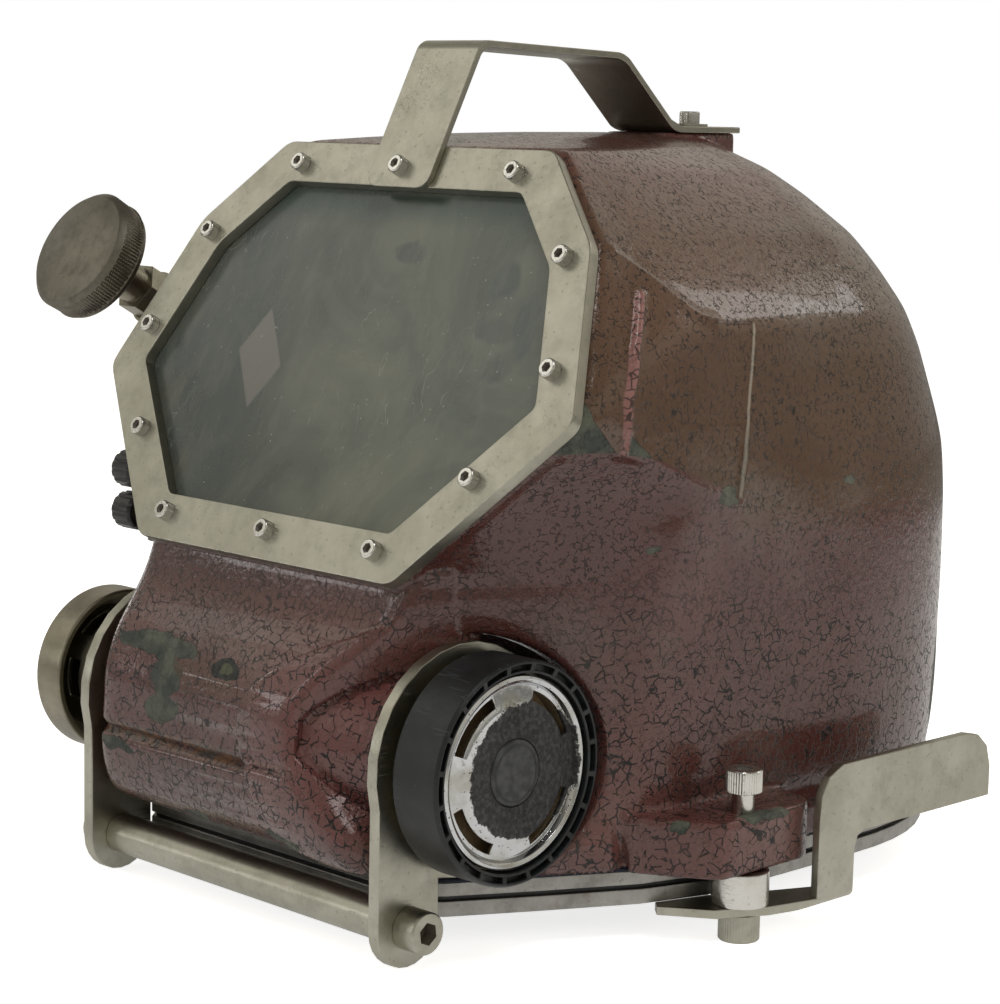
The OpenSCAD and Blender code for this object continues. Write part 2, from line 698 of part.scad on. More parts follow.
// Air valve: distances below the knob's face
module valve_body() {
    color([0.55, 0.52, 0.48]) difference() {
        union() {
            on_valve() translate([0, 0, -105]) cylinder(h = 53, r = 14);
            translate(spigot_at) rotate([0, 90, 0]) cylinder(h = 50, r = 8);
            translate([-pad_face - 4, spigot_at.y, spigot_at.z]) rotate([0, 90, 0])
                cylinder(h = 4, r = 15);
        }
        on_valve() translate([0, 0, -88]) cylinder(h = 40, r = 9 + fit);
        on_valve() translate([0, 0, -106]) cylinder(h = 12, r = 8 + fit);
        on_valve() translate([0, 0, -100]) cylinder(h = 20, r = 3);
        translate(spigot_at) rotate([0, 90, 0]) cylinder(h = 55, r = 5);
    }
}

module valve_bonnet() {
    color([0.6, 0.57, 0.52]) on_valve() difference() {
        union() {
            translate([0, 0, -64]) cylinder(h = 13, r = 9);
            translate([0, 0, -52]) cylinder(h = 12, r = 13, $fn = 6);
            translate([0, 0, -40]) cylinder(h = 14, r = 9.5);
        }
        translate([0, 0, -70]) cylinder(h = 60, r = stem_r + fit);
    }
}

module valve_stem() {
    color([0.7, 0.68, 0.64]) on_valve() {
        translate([0, 0, -66]) cylinder(h = 60, r = stem_r);
        translate([0, 0, -72]) cylinder(h = 6.5, r1 = 2.5, r2 = 6);
    }
}

module valve_knob() {
    color([0.45, 0.42, 0.38]) on_valve() difference() {
        translate([0, 0, -knob_t]) rotate_extrude() polygon([[0, 0], [knob_r - 2, 0],
            [knob_r - 1, 1], [knob_r - 1, 3], [knob_r, 4], [knob_r, knob_t - 3],
            [knob_r - 2.5, knob_t], [0, knob_t]]);
        translate([0, 0, -knob_t - 1]) cylinder(h = 12.6, r = stem_r + fit);
    }
}

module valve_nut() {
    color([0.7, 0.6, 0.35]) translate([-pad_face + 8.2, spigot_at.y, spigot_at.z])
        rotate([0, 90, 0]) difference() {
            cylinder(h = 6, r = 13, $fn = 6);
            translate([0, 0, -1]) cylinder(h = 8, r = 8 + fit);
        }
}

module inlet_adapter() {
    color([0.7, 0.6, 0.35]) on_valve() difference() {
        union() {
            translate([0, 0, -107]) cylinder(h = 12, r = 8);
            translate([0, 0, -119]) cylinder(h = 14, r = 12.5, $fn = 6);
            translate([0, 0, -134]) cylinder(h = 16, r = 9);
        }
        translate([0, 0, -140]) cylinder(h = 50, r = 4.5);
    }
}

// Tube swept along a list of points: its rings turn with the route
function route_direction(p, i) = let (a = p[max(i - 1, 0)], b = p[min(i + 1, len(p) - 1)])
    (b - a) / norm(b - a);
function route_ring(p, i, r, sides) = let (d = route_direction(p, i),
    s = cross(d, abs(d.z) > 0.9 ? [0, 1, 0] : [0, 0, 1]), u = s / norm(s), v = cross(d, u))
    [for (k = [0 : sides - 1]) p[i] + r * (u * cos(360 * k / sides) + v * sin(360 * k / sides))];
// Points of a smooth curve through a route's own points
function curve_point(a, b, c, d, t) = 0.5 * (2 * b + (c - a) * t + (2 * a - 5 * b + 4 * c - d) * t * t
    + (3 * b - a - 3 * c + d) * t * t * t);
function curve(p, steps) = concat([for (i = [0 : len(p) - 2]) for (k = [0 : steps - 1])
    curve_point(p[max(i - 1, 0)], p[i], p[i + 1], p[min(i + 2, len(p) - 1)], k / steps)],
    [p[len(p) - 1]]);
module swept_tube(route, r, sides = 10) {
    n = len(route);
    points = [for (i = [0 : n - 1]) each route_ring(route, i, r, sides)];
    faces = concat([[for (k = [0 : sides - 1]) k]],
        [for (i = [0 : n - 2]) for (k = [0 : sides - 1])
            let (a = i * sides + k, b = i * sides + (k + 1) % sides)
                each [[a, a + sides, b + sides], [a, b + sides, b]]],
        [[for (k = [sides - 1 : -1 : 0]) (n - 1) * sides + k]]);
    polyhedron(points = points, faces = faces);
}

// Air pipe inside the shell, from the air valve's spigot to the demand valve
air_route = [[-138, -21.4, 243.6], [-131, -21.4, 242], [-128, -22, 225], [-128, -30, 190],
    [-118, -47, 166], [-100, -70, 152], [-79, -92, 139], [-50, -118, 121], [0, -131.4, 110],
    [35, -129.4, 104], [54, -117.6, 93], [64, -104, 85], [69, -100, 82.7], [76, -100, 82.7]];
module air_pipe() {
    color([0.75, 0.55, 0.3]) swept_tube(curve(air_route, 3), 4);
}

// Defogging tube on the back of the port block, above the lens: across, and up the plate
function port_point(x, v, w) = [x, port_y + v * sin(port_tilt) - w * cos(port_tilt),
    port_z + v * cos(port_tilt) + w * sin(port_tilt)];
defog_r = 4;
defog_plan = [[-111, 150], [-94, 169.5], [-67, 183.5], [0, 184.5], [67, 183.5], [94, 169.5],
    [111, 150]];
defog_route = [for (p = defog_plan) port_point(p.x, p.y, -port_block_depth - defog_r - seat_gap)];
module defog_tube() {
    color([0.6, 0.58, 0.54]) swept_tube(curve(defog_route, 3), defog_r, 8);
}

module ring_band(z, t, from, to) {
    translate([0, 0, z]) linear_extrude(t) difference() {
        polygon(inset(ring_plan, from));
        polygon(inset(ring_plan, to));
    }
}

module upper_ring() {
    color([0.58, 0.56, 0.52]) difference() {
        ring_band(ring_top, upper_ring_t, 0, ring_w - 2);
        for (p = upper_screws_at) translate([p.x, p.y, ring_top - 1]) {
            cylinder(h = 3.8, r = 3.6 + fit);
            cylinder(h = 10, r = 2 + fit);
        }
    }
}

module ring_seal() {
    color([0.08, 0.08, 0.08]) ring_band(ring_z + lower_ring_t, seal_t, 2, 3.9);
}

module lower_ring() {
    color([0.58, 0.56, 0.52]) difference() {
        ring_band(ring_z, lower_ring_t, 0, ring_w);
        for (p = lower_screws_at) translate([p.x, p.y, ring_z - 1]) cylinder(h = 6, r = 1.5 + fit);
    }
}

module upper_ring_screws() {
    color([0.62, 0.6, 0.56]) for (p = upper_screws_at) translate([p.x, p.y, ring_top]) {
        cylinder(h = 2.6, r = 3.6);
        cylinder(h = 16, r = 2);
    }
}

module lower_ring_screws() {
    color([0.62, 0.6, 0.56]) for (p = lower_screws_at) translate([p.x, p.y, ring_z]) {
        translate([0, 0, -2.2]) cylinder(h = 2.2, r = 3);
        translate([0, 0, -0.1]) cylinder(h = 4.8, r = 1.5);
    }
}

// Latch lever: flat arm under the ring, and an upright plate that ends in the handle
lever_x = 183;
lever_arm = [[140, -24], [145, -28.5], [165, -14.5], [177, 8], [lever_x, 33], [lever_x, 58],
    [175, 58], [158, 20], [148, 2]];
lever_plate = [[33, lever_z], [58, lever_z], [58, 34], [60, 39], [65, 41], [158, 41], [158, 55],
    [155, 65], [148, 71], [139, 73], [48, 73], [39, 69], [34, 61], [33, 51]];
module latch_lever() {
    color([0.66, 0.64, 0.58]) difference() {
        union() {
            translate([0, 0, lever_z]) linear_extrude(lever_t) polygon(lever_arm);
            translate([lever_x - lever_t, 0, 0]) rotate([90, 0, 90]) linear_extrude(lever_t)
                polygon(lever_plate);
        }
        translate([latch_x, latch_y, lever_z - 1]) cylinder(h = lever_t + 2, r = m12_r + fit);
    }
}

module latch_lever_right() {
    latch_lever();
}

module latch_lever_left() {
    mirror([1, 0, 0]) latch_lever();
}

bush_z = lever_z + lever_t;
module latch_bushes() {
    color([0.8, 0.79, 0.76]) both_sides() translate([latch_x, latch_y, bush_z]) difference() {
        cylinder(h = shell_base - bush_z, r = 12.5);
        translate([0, 0, -1]) cylinder(h = 20, r = m12_r + fit);
    }
}

module latch_bolts() {
    color([0.62, 0.6, 0.56]) both_sides() translate([latch_x, latch_y, lever_z]) mirror([0, 0, 1])
        cap_screw(m12_r, 31, 9, lever_z, 5);
}

module latch_screws() {
    color([0.72, 0.7, 0.66]) both_sides() translate([latch_x, latch_y, boss_top + 9])
        cap_screw(5, 20.5, 8, 10, 4.6);
}

stud_end = 142;
module terminal_studs() {
    color([0.7, 0.6, 0.35]) for (z = terminal_z) translate([-stud_end - 8, terminal_y, z])
        rotate([0, 90, 0]) cylinder(h = stud_end + 8 - 100, r = 3);
}

module terminal_knobs() {
    color([0.05, 0.05, 0.05]) for (z = terminal_z) translate([-stud_end - 15, terminal_y, z])
        rotate([0, 90, 0]) difference() {
            cylinder(h = 15, r = 9);
            translate([0, 0, 6.9]) cylinder(h = 10, r = 3 + fit);
        }
}

// Mask inside the chin: a cup that narrows towards the front, on a snout at the chin's wall
mask_y = -118;
mask_z = 105;
snout_y = -143.2;
module mask_cup(r, from, to) {
    translate([0, mask_y, mask_z]) rotate([-90, 0, 0])
        translate([0, 0, from]) cylinder(h = to - from, r1 = r - 12, r2 = r);
}
module oral_nasal_mask() {
    color([0.12, 0.12, 0.12]) difference() {
        union() {
            mask_cup(40, 0, 48);
            translate([0, snout_y, 90]) rotate([-90, 0, 0]) cylinder(h = 28, r = 10);
        }
        mask_cup(36, 4, 49);
    }
}

module microphone() {
    color([0.2, 0.2, 0.2]) translate([0, mask_y + 4, mask_z + 4]) rotate([-90, 0, 0])
        cylinder(h = 7, r = 11);
}

module earphones() {
    color([0.1, 0.1, 0.1]) both_sides() translate([132.5, 105, 170]) rotate([0, 90, 0])
        cylinder(h = 15, r = 26);
}

// Pads: a pillow with a crowned face, drawn in between its corners
function pillow_point(size, u, v) = let (x = cos(u) * cos(v), y = sin(u) * cos(v), z = sin(v),
    k = 0.62, f = function (a) sign(a) * pow(abs(a), k))
    [size.x / 2 * f(x), size.y / 2 * f(y), size.z / 2 * sign(z) * pow(abs(z), 0.9)];
module pillow(size) {
    cols = 36;
    rows = 12;
    points = concat([for (j = [1 : rows - 1]) for (i = [0 : cols - 1])
        pillow_point(size, 360 * i / cols, -90 + 180 * j / rows)],
        [[0, 0, -size.z / 2], [0, 0, size.z / 2]]);
    low = cols * (rows - 1);
    faces = concat([for (j = [0 : rows - 3]) for (i = [0 : cols - 1])
        let (a = j * cols + i, b = j * cols + (i + 1) % cols)
            each [[a, a + cols, b + cols], [a, b + cols, b]]],
        [for (i = [0 : cols - 1]) [low, i, (i + 1) % cols]],
        [for (i = [0 : cols - 1])
            [low + 1, (rows - 2) * cols + (i + 1) % cols, (rows - 2) * cols + i]]);
    polyhedron(points = points, faces = faces);
}

module crown_pad() {
    color([0.15, 0.15, 0.16]) translate([0, 58, 321.1]) pillow([92, 110, 24]);
}

module rear_pad() {
    color([0.15, 0.15, 0.16]) translate([0, 218, 150]) rotate([-90, 0, 0]) pillow([110, 116, 26]);
}

shell();
port_gasket();
port_lens();
port_retainer();
port_screws();
carry_handle();
handle_washer();
handle_screw();
guard_plate_left();
guard_plate_right();
guard_bar();
guard_bolts();
regulator_body();
regulator_nut();
demand_valve();
demand_lever();
diaphragm();
regulator_cover();
purge_button();
regulator_bumper();
exhaust_body();
exhaust_nut();
exhaust_valve();
exhaust_cup();
exhaust_set_screw();
valve_body();
valve_bonnet();
valve_stem();
valve_knob();
valve_nut();
inlet_adapter();
air_pipe();
defog_tube();
upper_ring();
ring_seal();
lower_ring();
upper_ring_screws();
lower_ring_screws();
latch_lever_left();
latch_lever_right();
latch_bushes();
latch_bolts();
latch_screws();
terminal_studs();
terminal_knobs();
oral_nasal_mask();
microphone();
earphones();
crown_pad();
rear_pad();
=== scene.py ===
import json
import math
from contextlib import contextmanager

import bmesh
import bpy
import numpy as np
from bpy.props import FloatProperty, FloatVectorProperty, IntProperty, PointerProperty
from mathutils import Matrix, Vector

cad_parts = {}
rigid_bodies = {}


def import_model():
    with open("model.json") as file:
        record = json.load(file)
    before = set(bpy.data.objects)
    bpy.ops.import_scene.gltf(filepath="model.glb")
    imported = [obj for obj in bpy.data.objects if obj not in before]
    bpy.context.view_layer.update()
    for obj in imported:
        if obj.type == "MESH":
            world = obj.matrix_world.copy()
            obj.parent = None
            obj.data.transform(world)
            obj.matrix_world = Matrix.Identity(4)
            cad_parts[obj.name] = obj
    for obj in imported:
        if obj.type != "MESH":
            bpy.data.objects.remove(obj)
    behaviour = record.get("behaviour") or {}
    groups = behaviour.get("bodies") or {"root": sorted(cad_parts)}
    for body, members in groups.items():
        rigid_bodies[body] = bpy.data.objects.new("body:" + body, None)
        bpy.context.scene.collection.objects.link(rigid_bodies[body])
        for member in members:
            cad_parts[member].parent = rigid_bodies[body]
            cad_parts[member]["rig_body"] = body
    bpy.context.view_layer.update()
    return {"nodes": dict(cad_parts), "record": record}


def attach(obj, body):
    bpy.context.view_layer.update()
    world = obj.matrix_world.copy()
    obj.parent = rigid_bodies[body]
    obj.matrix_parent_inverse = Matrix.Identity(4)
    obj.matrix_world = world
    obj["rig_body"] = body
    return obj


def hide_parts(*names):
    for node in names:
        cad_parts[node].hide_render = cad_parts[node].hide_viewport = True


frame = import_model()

bl_info = {
    "name": "Diving helmet",
    "version": (1, 0, 0),
    "blender": (4, 5, 0),
    "location": "3D View > Sidebar > Helmet",
    "description": "Builds the dressed diving helmet piece by piece over its packed frame",
    "category": "Add Mesh",
}

MM = 0.001
REGULATOR = (-100, 82.7)  # Y and Z of the regulator's and the exhaust's shared axis, in mm


# ---------------------------------------------------------------- shader maths

class Value:
    """A socket of a node tree that takes part in sums."""

    def __init__(self, shader, socket):
        self.shader, self.socket = shader, socket

    def math(self, operation, a, b=None, c=None):
        return self.shader.node("ShaderNodeMath", {0: a, 1: b, 2: c}, operation=operation)

    def __add__(self, other): return self.math("ADD", self, other)
    def __radd__(self, other): return self.math("ADD", other, self)
    def __sub__(self, other): return self.math("SUBTRACT", self, other)
    def __rsub__(self, other): return self.math("SUBTRACT", other, self)
    def __mul__(self, other): return self.math("MULTIPLY", self, other)
    def __rmul__(self, other): return self.math("MULTIPLY", other, self)
    def __truediv__(self, other): return self.math("DIVIDE", self, other)
    def power(self, other): return self.math("POWER", self, other)
    def abs(self): return self.math("ABSOLUTE", self)
    def least(self, other): return self.math("MINIMUM", self, other)
    def most(self, other): return self.math("MAXIMUM", self, other)

    def step(self, low, high):
        """0 below low, 1 above high, and smooth between."""
        return self.shader.node("ShaderNodeMapRange", {0: self, 1: low, 2: high, 3: 0.0, 4: 1.0},
                                interpolation_type="SMOOTHSTEP", clamp=True)

    def fall(self, low, high):
        """1 below low, 0 above high, and smooth between."""
        return 1 - self.step(low, high)

    def band(self, low, rise, high, end):
        """0 below low, 1 from rise to high, and 0 again above end."""
        return self.step(low, rise) * self.fall(high, end)

    def split(self):
        return [self.shader.node("ShaderNodeSeparateXYZ", {0: self}, output=i) for i in range(3)]


class Shader:
    """A material or a world that is put together node by node."""

    def __init__(self, owner, coordinates="Object"):
        self.owner, owner.use_nodes = owner, True
        self.tree = owner.node_tree
        self.tree.nodes.clear()
        self.at = self.node("ShaderNodeTexCoord", output=coordinates)

    def node(self, kind, inputs=None, output=0, **settings):
        made = self.tree.nodes.new(kind)
        for key, value in settings.items():
            setattr(made, key, value)
        for key, value in (inputs or {}).items():
            if isinstance(value, Value):
                self.tree.links.new(value.socket, made.inputs[key])
            elif value is not None:
                made.inputs[key].default_value = value
        return Value(self, made.outputs[output]) if len(made.outputs) else None

    def rays(self):
        """1 for a ray from the camera, and 1 for a mirrored or refracted one."""
        camera, mirrored, through = [
            self.node("ShaderNodeLightPath", output=f"Is {kind} Ray")
            for kind in ("Camera", "Glossy", "Transmission")]
        return camera, (mirrored + through).least(1.0)

    def noise(self, scale, detail=3.0, rough=0.55, warp=0.0, at=None):
        return self.node("ShaderNodeTexNoise", {"Vector": at or self.at, "Scale": scale,
                         "Detail": detail, "Roughness": rough, "Distortion": warp})

    def cells(self, scale, feature="F1", at=None):
        return self.node("ShaderNodeTexVoronoi", {"Vector": at or self.at, "Scale": scale},
                         output="Distance", feature=feature)

    def vector(self, operation, a, b=None, output=0):
        return self.node("ShaderNodeVectorMath", {0: a, 1: b}, output=output, operation=operation)

    def stretched(self, factors):
        return self.vector("MULTIPLY", self.at, factors)

    def warped(self, amount, scale):
        """Coordinates moved about by noise, for ragged outlines."""
        shift = self.node("ShaderNodeTexNoise", {"Vector": self.at, "Scale": scale,
                          "Detail": 4.0}, output="Color")
        centred = self.vector("SUBTRACT", shift, (0.5, 0.5, 0.5))
        return self.vector("ADD", self.at, self.vector("MULTIPLY", centred, (amount,) * 3))

    def blob(self, at, spot, edge=(0.93, 1.03), size=1.0):
        """1 inside an ellipsoid, 0 outside. The spot is its centre and half sizes, in mm."""
        centre, radii = (tuple(c * MM for c in part) for part in spot)
        radii = tuple(r * size for r in radii)
        scaled = self.vector("DIVIDE", self.vector("SUBTRACT", at, centre), radii)
        return self.vector("LENGTH", scaled, output="Value").fall(*edge)

    def blobs(self, at, spots, edge=(0.93, 1.03)):
        whole = self.blob(at, spots[0], edge)
        for spot in spots[1:]:
            whole = whole.most(self.blob(at, spot, edge))
        return whole

    def strokes(self, scale, factors, width, breaks, **noise):
        """Thin lines where stretched noise passes its middle, broken up by coarser noise."""
        line = (self.noise(scale, at=self.stretched(factors), **noise) - 0.5).abs()
        coarse, low, high = breaks
        return line.fall(0.0, width) * self.noise(coarse, 2).step(low, high)

    def mix(self, share, a, b):
        return self.node("ShaderNodeMix", {0: share, 6: colour(a), 7: colour(b)}, output=2,
                         data_type="RGBA", clamp_factor=True)

    def mixed(self, share, shader_a, shader_b):
        return self.node("ShaderNodeMixShader", {0: share, 1: shader_a, 2: shader_b})

    def bump(self, height, depth):
        return self.node("ShaderNodeBump", {"Height": height, "Distance": depth,
                         "Strength": 1.0})

    def finish(self, **inputs):
        shade = self.node("ShaderNodeBsdfPrincipled",
                          {key.replace("_", " ").title().replace("Ior", "IOR"): value
                           for key, value in inputs.items()})
        self.node("ShaderNodeOutputMaterial", {0: shade})
        return self.owner


def around(y, z, y_shift=0.0, y_share=1.0):
    """Distance from the regulator's axis, or from the middle of an oval patch beside it."""
    across, up = y - (REGULATOR[0] * MM + y_shift), z - REGULATOR[1] * MM
    return (across * across * y_share + up * up).power(0.5)


def colour(value):
    return (*value, 1.0) if isinstance(value, tuple) and len(value) == 3 else value


def material_shader(name):
    return Shader(bpy.data.materials.new(name))


# ---------------------------------------------------------------- materials

CHIPS = [  # places where the paint has come off, with their half sizes, in mm
    ((-50, -144, 114), (29, 10, 5.5)), ((-39, -149, 102), (10, 9, 10)),
    ((-40, -150, 88), (11, 9, 6)), ((-21, -144.5, 43), (8, 6, 3)), ((41, -148, 45), (13, 8, 4.5)),
    ((-70, -149, 66), (16, 6, 2.5)), ((-150, -70, 222), (5, 8, 7)),
    ((151, 3.6, 190.2), (4, 7, 4.6)), ((141.6, -34, 170), (4, 4, 2)),
    ((155.2, 80, 192), (3, 3.5, 2)), ((156, 40, 140), (3, 2.5, 1.3)), ((173, 9, 55), (7, 15, 3)),
    ((158, -31, 53), (5, 5, 2.5)), ((137, 174, 84), (8, 6, 22)), ((-174, 12, 54), (7, 12, 3)),
    ((-152, 60, 150), (5, 7, 4)), ((-140, 150, 220), (8, 6, 5)), ((40, 236, 120), (6, 8, 4)),
    ((-50, 234, 70), (9, 8, 3)), ((60, 60, 339), (7, 5, 5)), ((120, 180, 52), (9, 9, 4))]
BLACK_CHIP = ((-2, -146, 111), (9, 7, 4.6))
BROWN_PATCH = ((-14, -147, 106), (21, 8, 9))
SIDE_FROM = (0.12, 0.125)  # distance from the middle, in m, beyond which a side panel begins


def crease_height(y):
    """Height of the side panel's lower crease near the frame's corner, in m."""
    return 0.2134 - (y + 0.065).most(0.0) * 0.20


def corner_chips(s):
    """Two bare triangles at the frame's corner, cut off straight by the panel's lower crease."""
    x, y, z = s.at.split()
    above = z - crease_height(y) + (s.noise(300, 3) - 0.5) * 0.0016
    first = ((-0.0652 - y) / 0.0148).most(0.0) * 0.0145 + y.fall(-0.0815, -0.0790) * 0.0060
    second = ((-0.0450 - y) / 0.0138).most(0.0) * 0.0078 * y.step(-0.0600, -0.0588)
    under = (first - above).step(-0.0003, 0.0003).most((second - above).step(-0.0003, 0.0003))
    return under * above.step(0.0, 0.0006) * x.step(*SIDE_FROM)


def crazing(s, crack_size):
    """Cracks of the paint: fine everywhere, and open and wider towards the foot."""
    low = (s.at.split()[2] + (s.noise(30, 3) - 0.5) * 0.09).fall(0.120, 0.172)
    small = s.cells(1 / crack_size, "DISTANCE_TO_EDGE", s.warped(0.0034, 170)).fall(0.025, 0.105)
    large = s.cells(0.62 / crack_size, "DISTANCE_TO_EDGE", s.warped(0.0045, 120))
    shown = s.noise(26, 2).step(0.30, 0.52)
    fine_lines = small * s.noise(300, 3, 0.6).step(0.49, 0.55) * (0.45 + 0.4 * shown)
    open_lines = large.fall(0.024, 0.080) * s.noise(210, 3, 0.6).step(0.46, 0.51) \
        * (0.75 + 0.25 * shown)
    return (fine_lines * (1 - 0.6 * low)).most(open_lines * low)


def upper_painted_reflection(s):
    """1 on the upper part of the shell, above the crease and fading behind it, where an
    olive-brown painted reflection goes.
    """
    x, y, z = s.at.split()
    behind = y.step(0.006, 0.016)
    soft = (z + (s.noise(16, 3) - 0.5) * 0.012).step(0.165, 0.186)
    sharp = (z - (crease_height(y) - (y + 0.041).most(0.0) * 0.17)).step(-0.0004, 0.0008)
    high = sharp * (1 - behind) + soft * behind
    return high * (-0.098 - y).fall(0.0, 0.006) * x.abs().step(0.06, 0.12)


def paint(settings):
    """Glossy maroon hammered paint: crazed, chipped to its dark primer, and stained. Its upper
    part and its raised ledge carry painted reflections, and its bead and the panel's rear edge
    carry painted highlights.
    """
    s = material_shader("shell_paint")
    x, y, z = s.at.split()
    side = x.abs().step(*SIDE_FROM)
    broad = s.noise(9, 4)
    crack = crazing(s, settings.crack_size)
    base = s.mix(broad.step(0.32, 0.68), tuple(settings.paint_dark), tuple(settings.paint_light))
    # Painted reflection: the upper part is turned olive-brown, standing in for the surroundings
    # mirrored in the gloss.
    base = s.mix(upper_painted_reflection(s) * 0.70, base, s.mix(broad.step(0.3, 0.7), (0.066, 0.041, 0.018),
                                                   (0.088, 0.053, 0.026)))
    # Painted reflection: the raised ledge beside the regulator's neck is made lighter and redder,
    # standing in for it mirroring less of the pale floor.
    painted_ledge_reflection = x.step(0.020, 0.027) * y.fall(-0.104, -0.094) * z.band(0.045, 0.055, 0.112, 0.132)
    base = s.mix(painted_ledge_reflection * 0.4, base, (0.150, 0.052, 0.050))
    base = s.mix(s.noise(1500, 1).step(0.45, 0.75) * 0.35, base, (0.130, 0.060, 0.050))
    base = s.mix(crack, base, (0.004, 0.003, 0.003))
    stain = ((z - 0.0735).abs() - 0.0004).fall(0.001, 0.0048) * y.fall(-0.13, -0.12) \
        * x.fall(0.012, 0.026) * s.noise(60, 4).step(0.25, 0.45)
    base = s.mix(stain * 0.9, base, s.mix(s.noise(240, 4).step(0.4, 0.6), (0.020, 0.014, 0.010),
                                          (0.125, 0.050, 0.016)))
    # Painted highlight: a lighter pink stripe along the raised bead on the side panel, with its
    # dark cracks.
    middle_line = (z - 0.235).most(0.0) * 0.415 + (z - 0.255).most(0.0) * 0.156
    bead = (y + 0.0619 - middle_line).abs().fall(0.0017, 0.0028) \
        * z.band(0.2115, 0.2135, 0.2765, 0.279) * side
    bead_cracks = s.cells(260, "DISTANCE_TO_EDGE", s.stretched((1, 0.35, 1))).fall(0.03, 0.10) \
        * s.noise(200, 2).step(0.40, 0.5)
    base = s.mix(bead * 0.85, base, s.mix(bead_cracks, (0.225, 0.102, 0.095),
                                          (0.035, 0.016, 0.015)))
    # Painted highlight: a thin pale line along the side panel's rear step edge.
    rear_edge_highlight = (y - 0.0109 - (z - 0.1875) * 0.120 - (z - 0.226).most(0.0) * 0.09).abs()
    rear_edge_highlight = rear_edge_highlight.fall(0.0001, 0.0006) * z.band(0.188, 0.190, 0.262, 0.264) * side
    base = s.mix(rear_edge_highlight * 0.55, base, (0.40, 0.37, 0.31))
    ragged = s.warped(0.011, 85)
    chips = s.blobs(ragged, CHIPS).most(s.noise(38, 5, 0.7).step(0.735, 0.745))
    chips = chips.most(corner_chips(s))
    base = s.mix(chips, base, s.mix(s.noise(90, 4).step(0.4, 0.62), (0.030, 0.036, 0.030),
                                    (0.075, 0.082, 0.062)))
    brown = s.blob(ragged, BROWN_PATCH) * 0.6 * s.noise(120, 3).step(0.3, 0.6)
    base = s.mix(brown, base, (0.075, 0.036, 0.020))
    black = s.blob(ragged, BLACK_CHIP)
    base = s.mix(black, base, s.mix(s.blob(ragged, BLACK_CHIP, size=0.5), (0.010, 0.012, 0.012),
                                    (0.055, 0.060, 0.030)))
    chips = chips.most(black)
    dust = s.noise(14, 5, 0.65).step(0.5, 0.8) * 0.16
    base = s.mix(dust, base, (0.30, 0.27, 0.24))
    rough = 0.17 + 0.12 * broad.step(0.3, 0.7) + 0.25 * crack + 0.34 * chips + 0.2 * stain
    hammer = s.noise(330, 2, 0.5, 0.4) * 0.75 + s.noise(420, 2) * 0.25
    height = hammer * settings.hammer - crack * 0.22 - chips * 0.45 + s.noise(70, 2) * 0.4
    return s.finish(base_color=base, roughness=rough, normal=s.bump(height, 0.0009),
                    specular_ior_level=0.45, coat_weight=(1 - chips.most(crack)) * 0.40,
                    coat_roughness=0.05)


def metal(name, light, dark, rough=0.3, grain=(1, 1, 1), rust=0.0, blotch=0.0):
    """Bare metal with fine brush marks, scratches, smears and specks."""
    s = material_shader(name)
    lines = s.noise(900, 3, 0.6, at=s.stretched(grain))
    cloud = s.noise(26, 6, 0.7)
    pits = s.cells(230).fall(0.07, 0.20)
    scratch = s.strokes(240, (1, 0.06, 1.3), 0.012, (50, 0.52, 0.66), detail=2, rough=0.5)
    base = s.mix(cloud.step(0.3, 0.7), light, dark)
    base = s.mix(pits * 0.28, base, tuple(c * 0.35 for c in dark))
    base = s.mix(scratch * 0.35, base, tuple(min(1, c * 1.35) for c in light))
    if blotch:
        spots = s.noise(70, 6, 0.75).step(0.44, 0.70)
        base = s.mix(spots * blotch, base, tuple(c * 0.55 for c in dark))
    inside = s.node("ShaderNodeAttribute", output="Fac", attribute_name="inside")
    base = s.mix(inside * 0.8, base, (0.10, 0.062, 0.04))
    if rust:
        bloom = s.noise(75, 5, 0.7).step(0.60, 0.72) * rust
        base = s.mix(bloom, base, (0.16, 0.075, 0.035))
    smear = s.noise(40, 5, 0.75).step(0.35, 0.7)
    height = lines * 0.16 + scratch * -0.35 + cloud * 0.10 + pits * -0.3
    return s.finish(base_color=base, metallic=1 - 0.85 * inside,
                    roughness=rough + 0.05 * smear + 0.08 * lines + 0.2 * inside,
                    normal=s.bump(height, 0.00012))


def rubber(name, dark, light, rough=0.55, dust=0.4):
    """Rubber or black plastic with a dusty bloom and small marks."""
    s = material_shader(name)
    cloud = s.noise(40, 5, 0.65)
    marks = s.strokes(180, (0.12, 1, 1), 0.02, (70, 0.5, 0.62))
    base = s.mix(cloud.step(0.38, 0.72) * dust, dark, light)
    base = s.mix(marks * 0.5, base, tuple(c * 1.8 for c in light))
    height = s.noise(1500, 2) * 0.5 + cloud * 0.4 + marks * 0.5
    return s.finish(base_color=base, roughness=rough - 0.12 * cloud.step(0.3, 0.7),
                    normal=s.bump(height, 0.00012), specular_ior_level=0.45)


